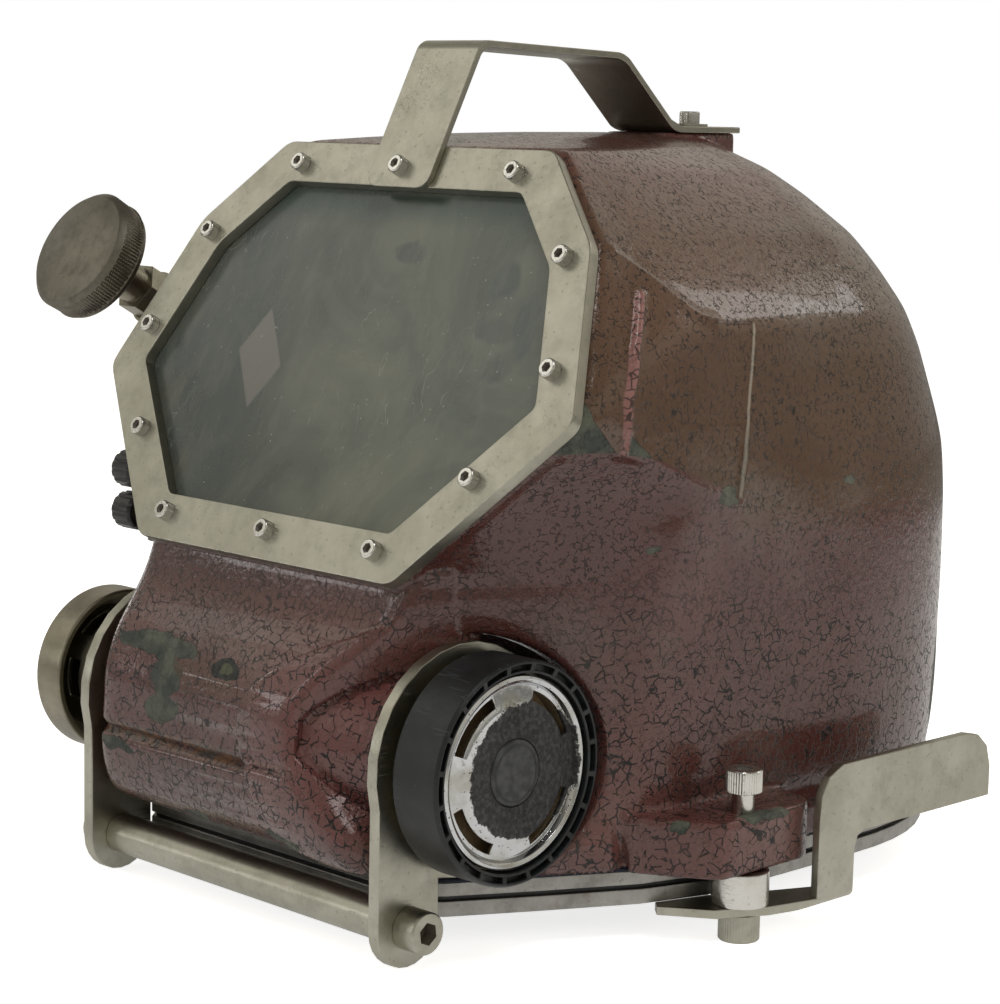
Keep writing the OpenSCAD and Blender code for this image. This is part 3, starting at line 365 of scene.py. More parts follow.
def chrome_cover():
    """Pitted chrome with a torn matt black patch round the button and tan slots."""
    s = material_shader("cover_chrome")
    x, y, z = s.at.split()
    torn = around(y, z, 0.0065, 0.80)
    edge = torn + (s.noise(260, 5, 0.7) - 0.5) * 0.0052 + (s.noise(70, 2) - 0.5) * 0.004
    patch = edge.fall(0.0283, 0.0288)
    pits = s.cells(520).fall(0.10, 0.26)
    pitted = (pits * s.noise(90, 3).step(0.45, 0.6)).most(pits * torn.fall(0.029, 0.034))
    tarnish = s.noise(55, 4).step(0.4, 0.7)
    base = s.mix(tarnish, (0.60, 0.61, 0.63), (0.42, 0.41, 0.37))
    base = s.mix(pitted * 0.85, base, (0.06, 0.055, 0.05))
    black = s.mix(s.noise(500, 3).step(0.4, 0.7), (0.012, 0.012, 0.013), (0.045, 0.045, 0.048))
    base = s.mix(patch, base, black)
    deep = x.fall(0.1243, 0.1251)
    base = s.mix(deep, base, (0.20, 0.15, 0.09))
    rough = 0.10 + 0.16 * tarnish + 0.3 * pitted + patch * 0.5 + deep * 0.4
    height = s.noise(700, 4, 0.7) * patch - pitted * 0.5 + patch * 0.8
    return s.finish(base_color=base, metallic=(1 - patch) * (1 - deep), roughness=rough,
                    normal=s.bump(height, 0.00025))


def button_rubber():
    """Plain dark button with a pressed ring, whose groove is also darkened in the colour as
    painted shade.
    """
    s = material_shader("button_rubber")
    _, y, z = s.at.split()
    # Painted shade: the pressed ring's groove is darkened in the colour as well as in the bump.
    ring = (around(y, z) - 0.0118).abs().fall(0.0003, 0.0009)
    cloud = s.noise(220, 4)
    base = s.mix(cloud.step(0.35, 0.7), (0.018, 0.019, 0.021), (0.050, 0.052, 0.056))
    return s.finish(base_color=s.mix(ring * 0.6, base, (0.008, 0.008, 0.009)),
                    roughness=0.42 + 0.2 * cloud, specular_ior_level=0.5,
                    normal=s.bump(s.noise(1600, 2) * 0.3 - ring * 1.2, 0.0002))


WIPES = [  # dark strokes on the lens: places and half sizes, in mm
    ((80, -65, 278), (9, 30, 11)), ((99, -72, 266), (8, 30, 12)), ((101, -76, 256), (7, 30, 9)),
    ((83, -75, 258), (12, 30, 7)), ((92, -84, 242), (10, 30, 6)), ((17, -60, 287), (13, 30, 5))]
PAINTED_REFLECTION_SPOT = (-0.0557, 0.2372)  # middle of the pale diamond painted on the lens as a reflection, X and Z in m


def glass():
    """Scuffed clear lens with an olive film, dark wiped strokes, hairs and specks, and a pale
    diamond that is a painted reflection.
    """
    s = material_shader("lens_glass")
    x, _, z = s.at.split()
    film = s.noise(11, 5, 0.62, 1.6, at=s.stretched((1, 1, 0.55))).step(0.30, 0.70)
    sweep = s.noise(26, 4, 0.6, 2.2, at=s.stretched((1, 0.6, 0.35)))
    fibre = s.noise(150, 4, 0.7, 0.6, at=s.stretched((1.0, 0.5, 0.22)))
    base = s.mix(film, (0.082, 0.096, 0.080), (0.132, 0.138, 0.106))
    left = x.fall(-0.10, 0.03) * (0.55 + 0.45 * sweep.step(0.3, 0.6))
    base = s.mix(left * 0.75, base, (0.052, 0.062, 0.064))
    brown = s.noise(17, 4, 0.6).step(0.52, 0.70) * z.fall(0.17, 0.28)
    base = s.mix(brown * 0.55, base, (0.090, 0.072, 0.052))
    base = s.mix(fibre.step(0.5, 0.72) * 0.28, base, (0.150, 0.156, 0.125))
    dark = s.blobs(s.warped(0.016, 60), WIPES, (0.55, 1.15))
    dark = dark * (0.55 + 0.45 * fibre.step(0.35, 0.6))
    base = s.mix(dark * 0.8, base, (0.040, 0.048, 0.048))
    # Painted reflection: a pale diamond on the lens, standing in for something mirrored in it. It
    # also makes the glass more opaque there.
    across, along = x - PAINTED_REFLECTION_SPOT[0], z - PAINTED_REFLECTION_SPOT[1]
    painted_reflection = (across * 0.76 + along * 0.65).abs().fall(0.0100, 0.0112) \
        * (across * 0.85 - along * 0.52).abs().fall(0.0140, 0.0160)
    base = s.mix(painted_reflection * 0.75, base, (0.150, 0.138, 0.125))
    hairs = s.strokes(60, (1.4, 1, 0.22), 0.005, (14, 0.5, 0.6), detail=2, rough=0.5, warp=0.8)
    specks = s.cells(210).fall(0.05, 0.11) * s.noise(30, 2).step(0.48, 0.58)
    base = s.mix((hairs * 0.30).most(specks * 0.7), base, (0.34, 0.34, 0.31))
    base = s.mix(z.band(0.296, 0.308, 0.31, 0.32) * 0.6, base, (0.020, 0.050, 0.045))
    alpha = (0.80 + 0.2 * film + 0.2 * dark + 0.2 * painted_reflection + 0.25 * hairs).least(1.0)
    return s.finish(base_color=base, roughness=0.16 + 0.22 * film * sweep + 0.1 * hairs,
                    alpha=alpha, specular_ior_level=0.5,
                    normal=s.bump(s.noise(40, 3) * 0.5 + hairs * 0.3, 0.00008))


def fabric():
    """Dark knitted cover over foam."""
    s = material_shader("pad_fabric")
    ribs, cross = (s.node("ShaderNodeTexWave", {"Vector": s.at, "Scale": scale,
                                                "Distortion": 1.2},
                          output="Fac", wave_type="BANDS", bands_direction=way)
                   for scale, way in ((260.0, "X"), (220.0, "Y")))
    weave = ribs * cross
    base = s.mix(weave * 0.7 + s.noise(30, 4) * 0.3, (0.018, 0.019, 0.022), (0.075, 0.077, 0.085))
    return s.finish(base_color=base, roughness=0.92, sheen_weight=0.4,
                    normal=s.bump(weave + s.noise(800, 2) * 0.4, 0.0004))


def sealant():
    """Dark blue sealant squeezed out between the shell and the neck ring."""
    s = material_shader("sealant")
    cloud = s.noise(90, 4)
    base = s.mix(cloud.step(0.4, 0.65), (0.006, 0.009, 0.022), (0.022, 0.030, 0.055))
    return s.finish(base_color=base, roughness=0.45 + 0.3 * cloud,
                    normal=s.bump(s.noise(260, 4), 0.0006))


def floor_paint():
    """Pale floor, white to the camera and, near the helmet, also in metal, paint and glass."""
    s = material_shader("stage_floor")
    camera, mirrored = s.rays()
    x, y, _ = s.at.split()
    lit = (x * x + y * y).power(0.5).fall(1.15, 1.45)
    shade = s.node("ShaderNodeBsdfDiffuse", {0: (0.86, 0.86, 0.85, 1)})
    far = s.node("ShaderNodeBsdfDiffuse", {0: (0.15, 0.14, 0.115, 1)})
    white = s.node("ShaderNodeEmission", {0: (1, 1, 1, 1), 1: 0.78})
    both = s.node("ShaderNodeAddShader", {0: shade, 1: white})
    seen = camera.most(mirrored * (0.10 + 0.42 * lit))
    s.node("ShaderNodeOutputMaterial", {0: s.mixed(seen, s.mixed(mirrored, shade, far), both)})
    return s.owner


METALS = {  # colours of the clean and of the dull metal, and what else metal() takes
    "stainless": ((0.49, 0.475, 0.405), (0.39, 0.375, 0.31),
                  {"rough": 0.30, "grain": (1, 1, 0.05), "blotch": 0.34}),
    "bright_steel": ((0.72, 0.71, 0.68), (0.58, 0.56, 0.52), {"rough": 0.17}),
    "satin_brass": ((0.48, 0.37, 0.20), (0.30, 0.22, 0.12), {"rough": 0.38}),
    "nickel": ((0.34, 0.315, 0.245), (0.22, 0.20, 0.15),
               {"rough": 0.30, "grain": (0.05, 1, 1), "rust": 0.2, "blotch": 0.3}),
    "knob_metal": ((0.25, 0.23, 0.19), (0.165, 0.15, 0.12),
                   {"rough": 0.40, "rust": 0.25, "blotch": 0.55}),
    "ring_steel": ((0.42, 0.41, 0.39), (0.27, 0.26, 0.245),
                   {"rough": 0.36, "grain": (1, 1, 0.1), "rust": 0.2, "blotch": 0.5}),
}
RUBBERS = {  # dark and light colour, and what else rubber() takes
    "black_rubber": ((0.006, 0.007, 0.008), (0.026, 0.029, 0.033), {"rough": 0.48}),
    "silicone": ((0.22, 0.15, 0.08), (0.34, 0.26, 0.16), {"rough": 0.45}),
    "black_plastic": ((0.009, 0.009, 0.009), (0.035, 0.035, 0.037),
                      {"rough": 0.4, "dust": 0.5}),
}
OTHERS = {
    "shell_paint": lambda: paint(bpy.context.scene.helmet_shell), "chrome": chrome_cover,
    "button": button_rubber, "lens": glass, "pad_cloth": fabric, "sealant": sealant,
    "stage_floor": floor_paint,
}
made_materials = {}


def finish_of(name):
    """The material of a finish, made when it is first asked for."""
    if name not in made_materials:
        if name in OTHERS:
            made = OTHERS[name]()
        else:
            maker, table = (metal, METALS) if name in METALS else (rubber, RUBBERS)
            one, other, more = table[name]
            made = maker(name, one, other, **more)
        made_materials[name] = made
    return made_materials[name]


# ---------------------------------------------------------------- mesh helpers (in millimetres)

STILL = Matrix.Identity(4)


def linked(name, data):
    """A new object in the scene."""
    piece = bpy.data.objects.new(name, data)
    bpy.context.scene.collection.objects.link(piece)
    return piece


def add_piece(name, points, faces, material):
    mesh = bpy.data.meshes.new(name)
    mesh.from_pydata((np.asarray(points, float) * MM).tolist(), [], faces)
    mesh.materials.append(finish_of(material))
    return linked(name, mesh)


def places_of(piece):
    """The points of a piece, one row each."""
    flat = np.empty(len(piece.data.vertices) * 3)
    piece.data.vertices.foreach_get("co", flat)
    return flat.reshape(-1, 3) / MM


def move_to(piece, points):
    piece.data.vertices.foreach_set("co", (points * MM).ravel())
    piece.data.update()


@contextmanager
def edited(mesh):
    """A mesh in an editable form, which goes back into it at the end."""
    work = bmesh.new()
    work.from_mesh(mesh)
    yield work
    work.to_mesh(mesh)
    work.free()


def outward(piece):
    """Turns the faces of a closed mesh outward."""
    with edited(piece.data) as work:
        bmesh.ops.recalc_face_normals(work, faces=work.faces)
    return piece


def altered(piece, kind, **settings):
    """Adds a modifier of a kind, with its settings."""
    modifier = piece.modifiers.new(kind.lower(), kind)
    for key, value in settings.items():
        setattr(modifier, key, value)
    return modifier


def baked(piece):
    """Puts the piece's modifiers into its mesh."""
    graph = bpy.context.evaluated_depsgraph_get()
    mesh = bpy.data.meshes.new_from_object(piece.evaluated_get(graph), depsgraph=graph,
                                           preserve_all_data_layers=True)
    piece.modifiers.clear()
    mesh.name = piece.name
    piece.data = mesh
    return piece


def cut(piece, cutter):
    """Takes the cutter's shape out of a piece."""
    altered(piece, "BOOLEAN", object=cutter, operation="DIFFERENCE", solver="MANIFOLD")
    baked(piece)
    bpy.data.objects.remove(cutter)
    return piece


def joined(name, pieces):
    """One object with the meshes of several."""
    work = bmesh.new()
    for piece in pieces:
        work.from_mesh(piece.data)
    mesh = pieces[0].data.copy()
    mesh.name = name
    work.to_mesh(mesh)
    work.free()
    for piece in pieces:
        bpy.data.objects.remove(piece)
    return linked(name, mesh)


def shaded(piece, angle):
    """Smooth shading, but for edges sharper than the angle."""
    piece.data.shade_smooth()
    piece.data.set_sharp_from_angle(angle=math.radians(angle))


SHARP = 32  # degrees above which an edge is shaded sharp


def seat(piece, body, nodes=(), angle=SHARP):
    """Shades a finished piece, and makes it ride on its body in place of its CAD nodes."""
    if angle:
        shaded(piece, angle)
    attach(piece, body)
    if nodes:
        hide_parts(*nodes)
    return piece


SLOTS = {n["node"]: n["material_slot"] for n in frame["record"]["subparts"]}
FINISHES = {"purge_button": "button", "upper_ring": "ring_steel", "lower_ring": "ring_steel"}


def dressed(node, width, bends=None, bend_width=5.0):
    """A CAD node's own shape with its flat faces joined and its edges rounded."""
    source = frame["nodes"][node]
    mesh = source.data.copy()
    mesh.materials.clear()
    mesh.materials.append(finish_of(FINISHES.get(node, SLOTS[node])))
    piece = linked(node + ".dressed", mesh)
    with edited(mesh) as work:
        bmesh.ops.remove_doubles(work, verts=work.verts, dist=2e-6)
        bmesh.ops.dissolve_limit(work, angle_limit=math.radians(0.4), verts=work.verts,
                                 edges=work.edges)
        if bends:
            weights = work.edges.layers.float.new("bevel_weight_edge")
            for edge in work.edges:
                a, b = edge.verts[0].co / MM, edge.verts[1].co / MM
                edge[weights] = 1.0 if bends(a, b) else 0.0
    if bends:
        altered(piece, "BEVEL", width=bend_width * MM, segments=8, limit_method="WEIGHT",
                use_clamp_overlap=False)
    altered(piece, "BEVEL", width=width * MM, segments=2, limit_method="ANGLE",
            angle_limit=math.radians(30), use_clamp_overlap=False)
    baked(piece)
    shaded(piece, SHARP)
    altered(piece, "WEIGHTED_NORMAL", mode="FACE_AREA", weight=50, keep_sharp=True)
    baked(piece)
    return seat(piece, source["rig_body"], [node], angle=None)


def dress(**widths):
    """Dresses several nodes, each with the width of its rounded edges in mm."""
    for node, width in widths.items():
        dressed(node, width)


def place(origin, turn=Matrix.Identity(3)):
    return Matrix.Translation(origin) @ turn.to_4x4()


def turned(degrees, axis):
    return Matrix.Rotation(math.radians(degrees), 3, axis)


def put(points, matrix):
    return np.asarray(points, float) @ np.array(matrix.to_3x3()).T + np.array(matrix.translation)


def box(x0, y0, x1, y1):
    """Outline of a rectangle, or profile of a disc when it starts at 0."""
    return [(x0, y0), (x1, y0), (x1, y1), (x0, y1)]


def soft_profile(profile, radius, steps=3):
    """A profile with its inner corners rounded off."""
    points = [np.array(p, float) for p in profile]
    out = [points[0]]
    for a, p, b in zip(points, points[1:], points[2:]):
        la, lb = np.linalg.norm(a - p), np.linalg.norm(b - p)
        cut_back = min(radius, la * 0.45, lb * 0.45)
        p0, p1 = p + (a - p) / la * cut_back, p + (b - p) / lb * cut_back
        for t in np.linspace(0, 1, steps + 1):
            out.append(p0 * (1 - t) ** 2 + p * 2 * t * (1 - t) + p1 * t * t)
    return out + [points[-1]]


def bands(rings, count, closed=False):
    """Faces between rings of count points each. Closed, the last ring meets the first."""
    return [(i * count + k, i * count + (k + 1) % count, (i + 1) % rings * count + (k + 1) % count,
             (i + 1) % rings * count + k)
            for i in range(rings if closed else rings - 1) for k in range(count)]


def fans(rings, count):
    """Faces that close the first and the last ring with the two points after them all."""
    last, end = (rings - 1) * count, rings * count
    return [((k + 1) % count, k, end) for k in range(count)] \
        + [(last + k, last + (k + 1) % count, end + 1) for k in range(count)]


def lathe(name, profile, matrix, material, count=96, ripple=None):
    """A turned piece. Its profile of (radius, height) starts and ends on the axis."""
    angle = np.linspace(0, 2 * math.pi, count, endpoint=False)
    points = []
    for radius, height in np.array(profile[1:-1], float):
        r = radius + (ripple(angle, radius, height) if ripple else 0)
        points.append(np.stack([r * np.cos(angle), r * np.sin(angle),
                                np.full(count, height)], 1))
    faces = bands(len(points), count) + fans(len(points), count)
    points = np.concatenate(points + [[[0, 0, profile[0][1]], [0, 0, profile[-1][1]]]])
    return outward(add_piece(name, put(points, matrix), faces, material))


def prism(name, outline, low, high, matrix, material):
    """A straight piece between two copies of an outline."""
    flat = np.array(outline, float)
    n = len(flat)
    points = np.concatenate([np.column_stack([flat, np.full(n, low)]),
                             np.column_stack([flat, np.full(n, high)])])
    faces = [tuple(range(n)), tuple(range(2 * n - 1, n - 1, -1))]
    faces += [(i, (i + 1) % n, n + (i + 1) % n, n + i) for i in range(n)]
    return outward(add_piece(name, put(points, matrix), faces, material))


def polygon(count, radius):
    angles = [2 * math.pi * k / count for k in range(count)]
    return [(radius * math.cos(a), radius * math.sin(a)) for a in angles]


def smooth_path(points, steps):
    """Catmull-Rom curve through the points."""
    p = np.array(points, float)
    out = []
    for i in range(len(p) - 1):
        a, b, c, d = p[max(i - 1, 0)], p[i], p[i + 1], p[min(i + 2, len(p) - 1)]
        for t in np.linspace(0, 1, steps, endpoint=False):
            out.append(0.5 * (2 * b + (c - a) * t + (2 * a - 5 * b + 4 * c - d) * t * t
                              + (3 * b - a - 3 * c + d) * t ** 3))
    return np.array(out + [p[-1]])


def tube(name, path, radius, material, sides=20):
    """Round tube along a path, closed at both ends."""
    tangent = np.gradient(path, axis=0)
    tangent /= np.linalg.norm(tangent, axis=1)[:, None]
    side = np.cross(tangent[0], (0.31, 0.2, 0.93))
    a = np.linspace(0, 2 * math.pi, sides, endpoint=False)[:, None]
    points = []
    for p, t in zip(path, tangent):
        side = side - t * side.dot(t)
        side /= np.linalg.norm(side)
        points.append(p + radius * (np.cos(a) * side + np.sin(a) * np.cross(t, side)))
    n = len(path)
    faces = bands(n, sides) + [tuple(range(sides)),
                               tuple((n - 1) * sides + k for k in range(sides))]
    return outward(add_piece(name, np.concatenate(points), faces, material))


def ring_tube(name, path, radius, material, sides=8):
    """Closed round bead along a closed path, with a radius for each point."""
    tangent = np.roll(path, -1, axis=0) - np.roll(path, 1, axis=0)
    tangent /= np.linalg.norm(tangent, axis=1)[:, None]
    up = np.array([0, 0, 1.0])
    side = np.cross(tangent, up)
    a = np.linspace(0, 2 * math.pi, sides, endpoint=False)
    points = path[:, None] + radius[:, None, None] * (np.cos(a)[None, :, None] * side[:, None]
                                                      + np.sin(a)[None, :, None] * up)
    return outward(add_piece(name, points.reshape(-1, 3), bands(len(path), sides, True),
                             material))


def repeat_group():
    """Geometry nodes that set one source piece on each point, turned as the point says."""
    group = bpy.data.node_groups.get("repeat")
    if group:
        return group
    group = bpy.data.node_groups.new("repeat", "GeometryNodeTree")
    for name, kind, way in (("Points", "Geometry", "INPUT"), ("Source", "Object", "INPUT"),
                            ("Spin", "Float", "INPUT"), ("Seed", "Int", "INPUT"),
                            ("Finish", "Material", "INPUT"), ("Pieces", "Geometry", "OUTPUT")):
        group.interface.new_socket(name, in_out=way, socket_type="NodeSocket" + kind)
    new = group.nodes.new
    enter, leave = new("NodeGroupInput"), new("NodeGroupOutput")
    source, turn = new("GeometryNodeObjectInfo"), new("GeometryNodeInputNamedAttribute")
    turn.data_type, turn.inputs["Name"].default_value = "FLOAT_VECTOR", "turn"
    copies, spin = new("GeometryNodeInstanceOnPoints"), new("FunctionNodeRandomValue")
    axis, rotate = new("ShaderNodeCombineXYZ"), new("GeometryNodeRotateInstances")
    real, dress_all = new("GeometryNodeRealizeInstances"), new("GeometryNodeSetMaterial")
    for start, out, end, into in (
            (enter, "Points", copies, "Points"), (enter, "Source", source, "Object"),
            (source, "Geometry", copies, "Instance"), (turn, "Attribute", copies, "Rotation"),
            (enter, "Spin", spin, 3), (enter, "Seed", spin, "Seed"), (spin, 1, axis, 2),
            (copies, 0, rotate, "Instances"), (axis, 0, rotate, "Rotation"), (rotate, 0, real, 0),
            (real, 0, dress_all, "Geometry"), (enter, "Finish", dress_all, "Material"),
            (dress_all, 0, leave, 0)):
        group.links.new(start.outputs[out], end.inputs[into])
    return group


def repeated(name, source, places, material, seed=3):
    """Copies of a source piece, whose axis is Z, at a list of matrices in millimetres, each
    spun about its own axis by a random angle."""
    points = add_piece(name, [m.translation for m in places], [], material)
    turns = points.data.attributes.new("turn", "FLOAT_VECTOR", "POINT")
    for slot, matrix in zip(turns.data, places):
        slot.vector = matrix.to_euler()
    group = repeat_group()
    modifier = altered(points, "NODES", node_group=group)
    values = {"Source": source, "Spin": 6.28, "Seed": seed, "Finish": finish_of(material)}
    for item in group.interface.items_tree:
        if item.in_out == "INPUT" and item.name in values:
            modifier[item.identifier] = values[item.name]
    baked(points)
    bpy.data.objects.remove(source)
    return points


def cap_screw(name, shank, length, head, height, key, material, knurl=0.0, teeth=36):
    """Socket head cap screw: its head stands on Z = 0, with grooves round its side."""
    profile = soft_profile([(0, -length), (shank - 0.3, -length), (shank, -length + 0.4),
                            (shank, 0), (head - 0.2, 0), (head, 0.3), (head, height * 0.30),
                            (head, height * 0.62), (head, height - 0.6),
                            (head - 0.6, height), (key + 0.5, height), (0, height)], 0.15, 2)
    wave = (lambda a, r, h: -knurl * (0.5 + 0.5 * np.cos(a * teeth)) *
            (r > head - 0.1) * (h > 0.2)) if knurl else None
    screw = lathe(name, profile, STILL, material, teeth * 4 if knurl else 40, wave)
    cut(screw, prism("socket", polygon(6, key), height * 0.45, height + 2, STILL, material))
    mark = screw.data.attributes.new("inside", "FLOAT", "POINT")
    at = places_of(screw)
    inside = (np.hypot(at[:, 0], at[:, 1]) < key + 0.05) & (at[:, 2] < height - 0.1) \
        & (at[:, 2] > 0.1)
    mark.data.foreach_set("value", inside.astype(np.float32))
    return screw


# ---------------------------------------------------------------- shapes shared with the frame

PORT = place((0, -129.9, 157.3), turned(90 - 26.9, "X"))
AXIS_RIGHT = place((0, *REGULATOR), turned(90, "Y"))
AXIS_LEFT = place((0, *REGULATOR), turned(-90, "Y"))
VALVE = place((-188, -87, 280), turned(61, "X"))
PORT_OUTER = [(83.3, 0), (151.2, 78.8), (126.1, 155.7), (85.6, 198)]
PORT_INNER = [(73.3, 21.6), (127.9, 83.7), (107.4, 144.6), (75.3, 177.6)]
PORT_SCREWS = [(68.9, 12.6), (108.6, 49.4), (130.9, 99.7), (114.6, 149.4), (69.2, 186.1)]
LATCH_BOSS = [(138, -42), (157, -31), (170, -22.5), (173, -19), (174, -15), (174, 32), (172, 38),
              (166, 44.5), (138, 50)]
LEVELS = np.array([
    [31.25, -112, 88, 88, 138, -33, 149, 70, 234], [34, -113, 88, 88, 138, -33, 149.5, 75, 235],
    [38, -138, 86, 84, 138, -33, 150, 80, 235], [42, -145.5, 86, 85, 138.5, -34, 150.5, 85, 235],
    [50, -149, 82, 85, 139, -35, 151.5, 90, 235.5], [58, -151, 72, 85, 139.5, -35, 153.5, 90, 236],
    [68, -152, 60, 85, 140, -35, 155, 90, 236.5], [82, -150.5, 50, 85, 140, -35, 156, 90, 237],
    [97, -150, 47, 85, 140.5, -35, 156, 90, 238], [108, -147, 52, 85, 141, -34.5, 156, 90, 238],
    [118, -142, 60, 85, 141.5, -34, 156, 90, 238], [130, -133.5, 72, 85, 142, -33, 156.5, 90, 238],
    [140, -127.5, 80, 84.5, 142.5, -32, 156.5, 90, 238],
    [150, -124, 84, 83.5, 143.5, -31, 156.5, 90, 238],
    [157.3, -122.3, 82.6, 82.6, 145, -29, 156.5, 90, 237.9],
    [175, -113.3, 99.4, 99.4, 148, -23, 156.5, 90, 237],
    [190, -105.7, 114, 114, 150.2, -15, 156, 90, 235.3],
    [200, -100.7, 123.5, 123.5, 151, -28, 155, 91, 233.8],
    [212, -94.6, 135.1, 135.1, 151, -56, 153, 92, 231.5],
    [227.6, -86.6, 150.2, 150.2, 151, -83, 149.6, 93, 227.6],
    [245, -77.8, 143.8, 143.8, 151, -55, 146, 95, 222],
    [262, -69.2, 137.6, 137.6, 150.5, -24, 140, 97, 215.3],
    [280, -60.1, 131, 131, 137, -25, 126, 101, 206],
    [296, -51.9, 125.1, 125.1, 122, -28, 111, 105, 195],
    [313, -43.3, 107, 107, 104.5, -32, 84, 108, 180],
    [325, -37.2, 94.2, 94.2, 93, -30, 63, 110, 164],
    [333.9, -32.7, 84.5, 84.5, 83, -28, 40, 111, 147],
    [336.5, -12, 62, 62, 58, -6, 31, 112, 140], [338.7, 14, 42, 42, 40, 18, 21, 112, 132],
    [340, 44, 22, 22, 21, 48, 12, 112, 124], [340.6, 80, 3, 3, 2.9, 85, 2, 112, 116]], float)
STEPS = (20, 34, 28, 60)  # columns of the skin along the front, cheek, side and rear


def level_outline(level, half, fine):
    """Right or left half of a level, from the front middle to the rear middle."""
    z, front, right, left, cheek_x, cheek_y, side_x, side_y, rear = level
    width = right if half > 0 else left
    counts = [max(2, int(c * fine)) for c in STEPS]
    corners = [(0, front), (width, front), (cheek_x, cheek_y), (side_x, side_y)]
    points = []
    for a, b, c in zip(corners, corners[1:], counts):
        points += [np.array(a) + (np.array(b) - np.array(a)) * i / c for i in range(c)]
    power = np.interp(z, (31, 200, 262, 300), (2.4, 2.4, 2.15, 2))
    for i in range(counts[3] + 1):
        t = math.pi / 2 * i / counts[3]
        points.append((side_x * max(math.cos(t), 0) ** (2 / power),
                       side_y + (rear - side_y) * math.sin(t) ** (2 / power)))
    return np.array(points) * (half, 1)


def smoothed(rows, sigma, axis, wrap):
    """The rows averaged along an axis with a bell curve."""
    reach = int(3 * sigma) + 1
    kernel = np.exp(-0.5 * (np.arange(-reach, reach + 1) / sigma) ** 2)
    kernel /= kernel.sum()
    out = np.zeros_like(rows)
    padded = np.pad(rows, [(reach, reach) if i == axis else (0, 0) for i in range(rows.ndim)],
                    mode="wrap" if wrap else "edge")
    for k, share in enumerate(kernel):
        out += share * np.take(padded, range(k, k + rows.shape[axis]), axis=axis)
    return out


def skin(name, levels, fine, row_step, soft):
    """Closed skin through a stack of levels, with rows about row_step apart."""
    rows = [levels[0]]
    for a, b in zip(levels, levels[1:]):
        length = max(abs(b[0] - a[0]), abs(b[1] - a[1]), abs(b[2] - a[2]), abs(b[6] - a[6]))
        n = max(1, int(round(length / row_step)))
        rows += [a + (b - a) * (i + 1) / n for i in range(n)]
    outline = []
    for level in rows:
        right, left = level_outline(level, 1, fine), level_outline(level, -1, fine)
        ring = np.concatenate([right, left[-2:0:-1]])
        outline.append(np.column_stack([ring, np.full(len(ring), level[0])]))
    outline = np.array(outline)
    if soft:
        floor = outline[0, 0, 2]
        outline = smoothed(smoothed(outline, soft, 1, True), soft, 0, False)
        outline[:, :, 2] = np.maximum(outline[:, :, 2], floor)
    n, count = outline.shape[:2]
    points = np.concatenate([outline.reshape(-1, 3), [[0, 100, outline[0, 0, 2]],
                                                      [0, 100, outline[-1, 0, 2]]]])
    return outward(add_piece(name, points, bands(n, count) + fans(n, count), "shell_paint"))


def octagon(half):
    return list(half) + [(-x, y) for x, y in reversed(half)]


def inset(points, d):
    """An outline moved inward by d."""
    p = [np.array(q, float) for q in points]
    out = []
    for a, b, c in zip(p[-1:] + p[:-1], p, p[1:] + p[:1]):
        t1, t2 = (b - a) / np.linalg.norm(b - a), (c - b) / np.linalg.norm(c - b)
        n1, n2 = np.array([-t1[1], t1[0]]), np.array([-t2[1], t2[0]])
        out.append(b + d * (n1 + n2) / (1 + n1 @ n2))
    return out


def ramp(values, low, high):
    """0 below low, 1 above high, and smooth between."""
    t = np.clip((values - low) / (high - low), 0, 1)
    return t * t * (3 - 2 * t)


def line_gap(px, py, line):
    """Distance to a line of points."""
    best = np.full(px.shape, 1e9)
    for a, b in zip(line, line[1:]):
        d = np.subtract(b, a)
        t = np.clip(((px - a[0]) * d[0] + (py - a[1]) * d[1]) / (d @ d), 0, 1)
        best = np.minimum(best, np.hypot(px - a[0] - t * d[0], py - a[1] - t * d[1]))
    return best


def inside_by(px, py, outline):
    """Signed distance to a closed outline, positive inside."""
    poly = np.array(outline, float)
    odd = np.zeros(px.shape, bool)
    for a, b in zip(poly, np.roll(poly, -1, axis=0)):
        crosses = (a[1] > py) != (b[1] > py)
        with np.errstate(divide="ignore", invalid="ignore"):
            at = (b[0] - a[0]) * (py - a[1]) / (b[1] - a[1]) + a[0]
        odd ^= crosses & (px < at)
    gap = line_gap(px, py, np.concatenate([poly, poly[:1]]))
    return np.where(odd, gap, -gap)


PLATEAU = [(91, 162), (84, 154), (79, 139), (66, 132.5), (50, 125.6), (39, 119.7), (28, 113),
           (20, 105.5), (15.6, 99), (14.5, 91), (17, 80), (22, 70), (28, 60), (36, 50), (48, 43),
           (66, 40), (86, 40), (96, 38), (96, 162)]
PANEL_LOW = [(-120, 214), (-65, 213.4), (-45.6, 209.6), (-41.3, 208), (-25.2, 201.3),
             (-15.2, 197.5), (-2.3, 193.4), (10.9, 187.5)]
PANEL_REAR = [(10.9, 187.5), (15.5, 226), (23.3, 262.6)]
BROW = [(23.3, 262.6), (-3.4, 264), (-14, 266.9), (-25.1, 275.7), (-35.2, 285), (-45.7, 294)]
PANEL = PANEL_LOW + PANEL_REAR[1:] + BROW[1:] + [(-120, 300)]
STEP_HALF = 0.6  # half the width of the step at the panels' rear and top edges


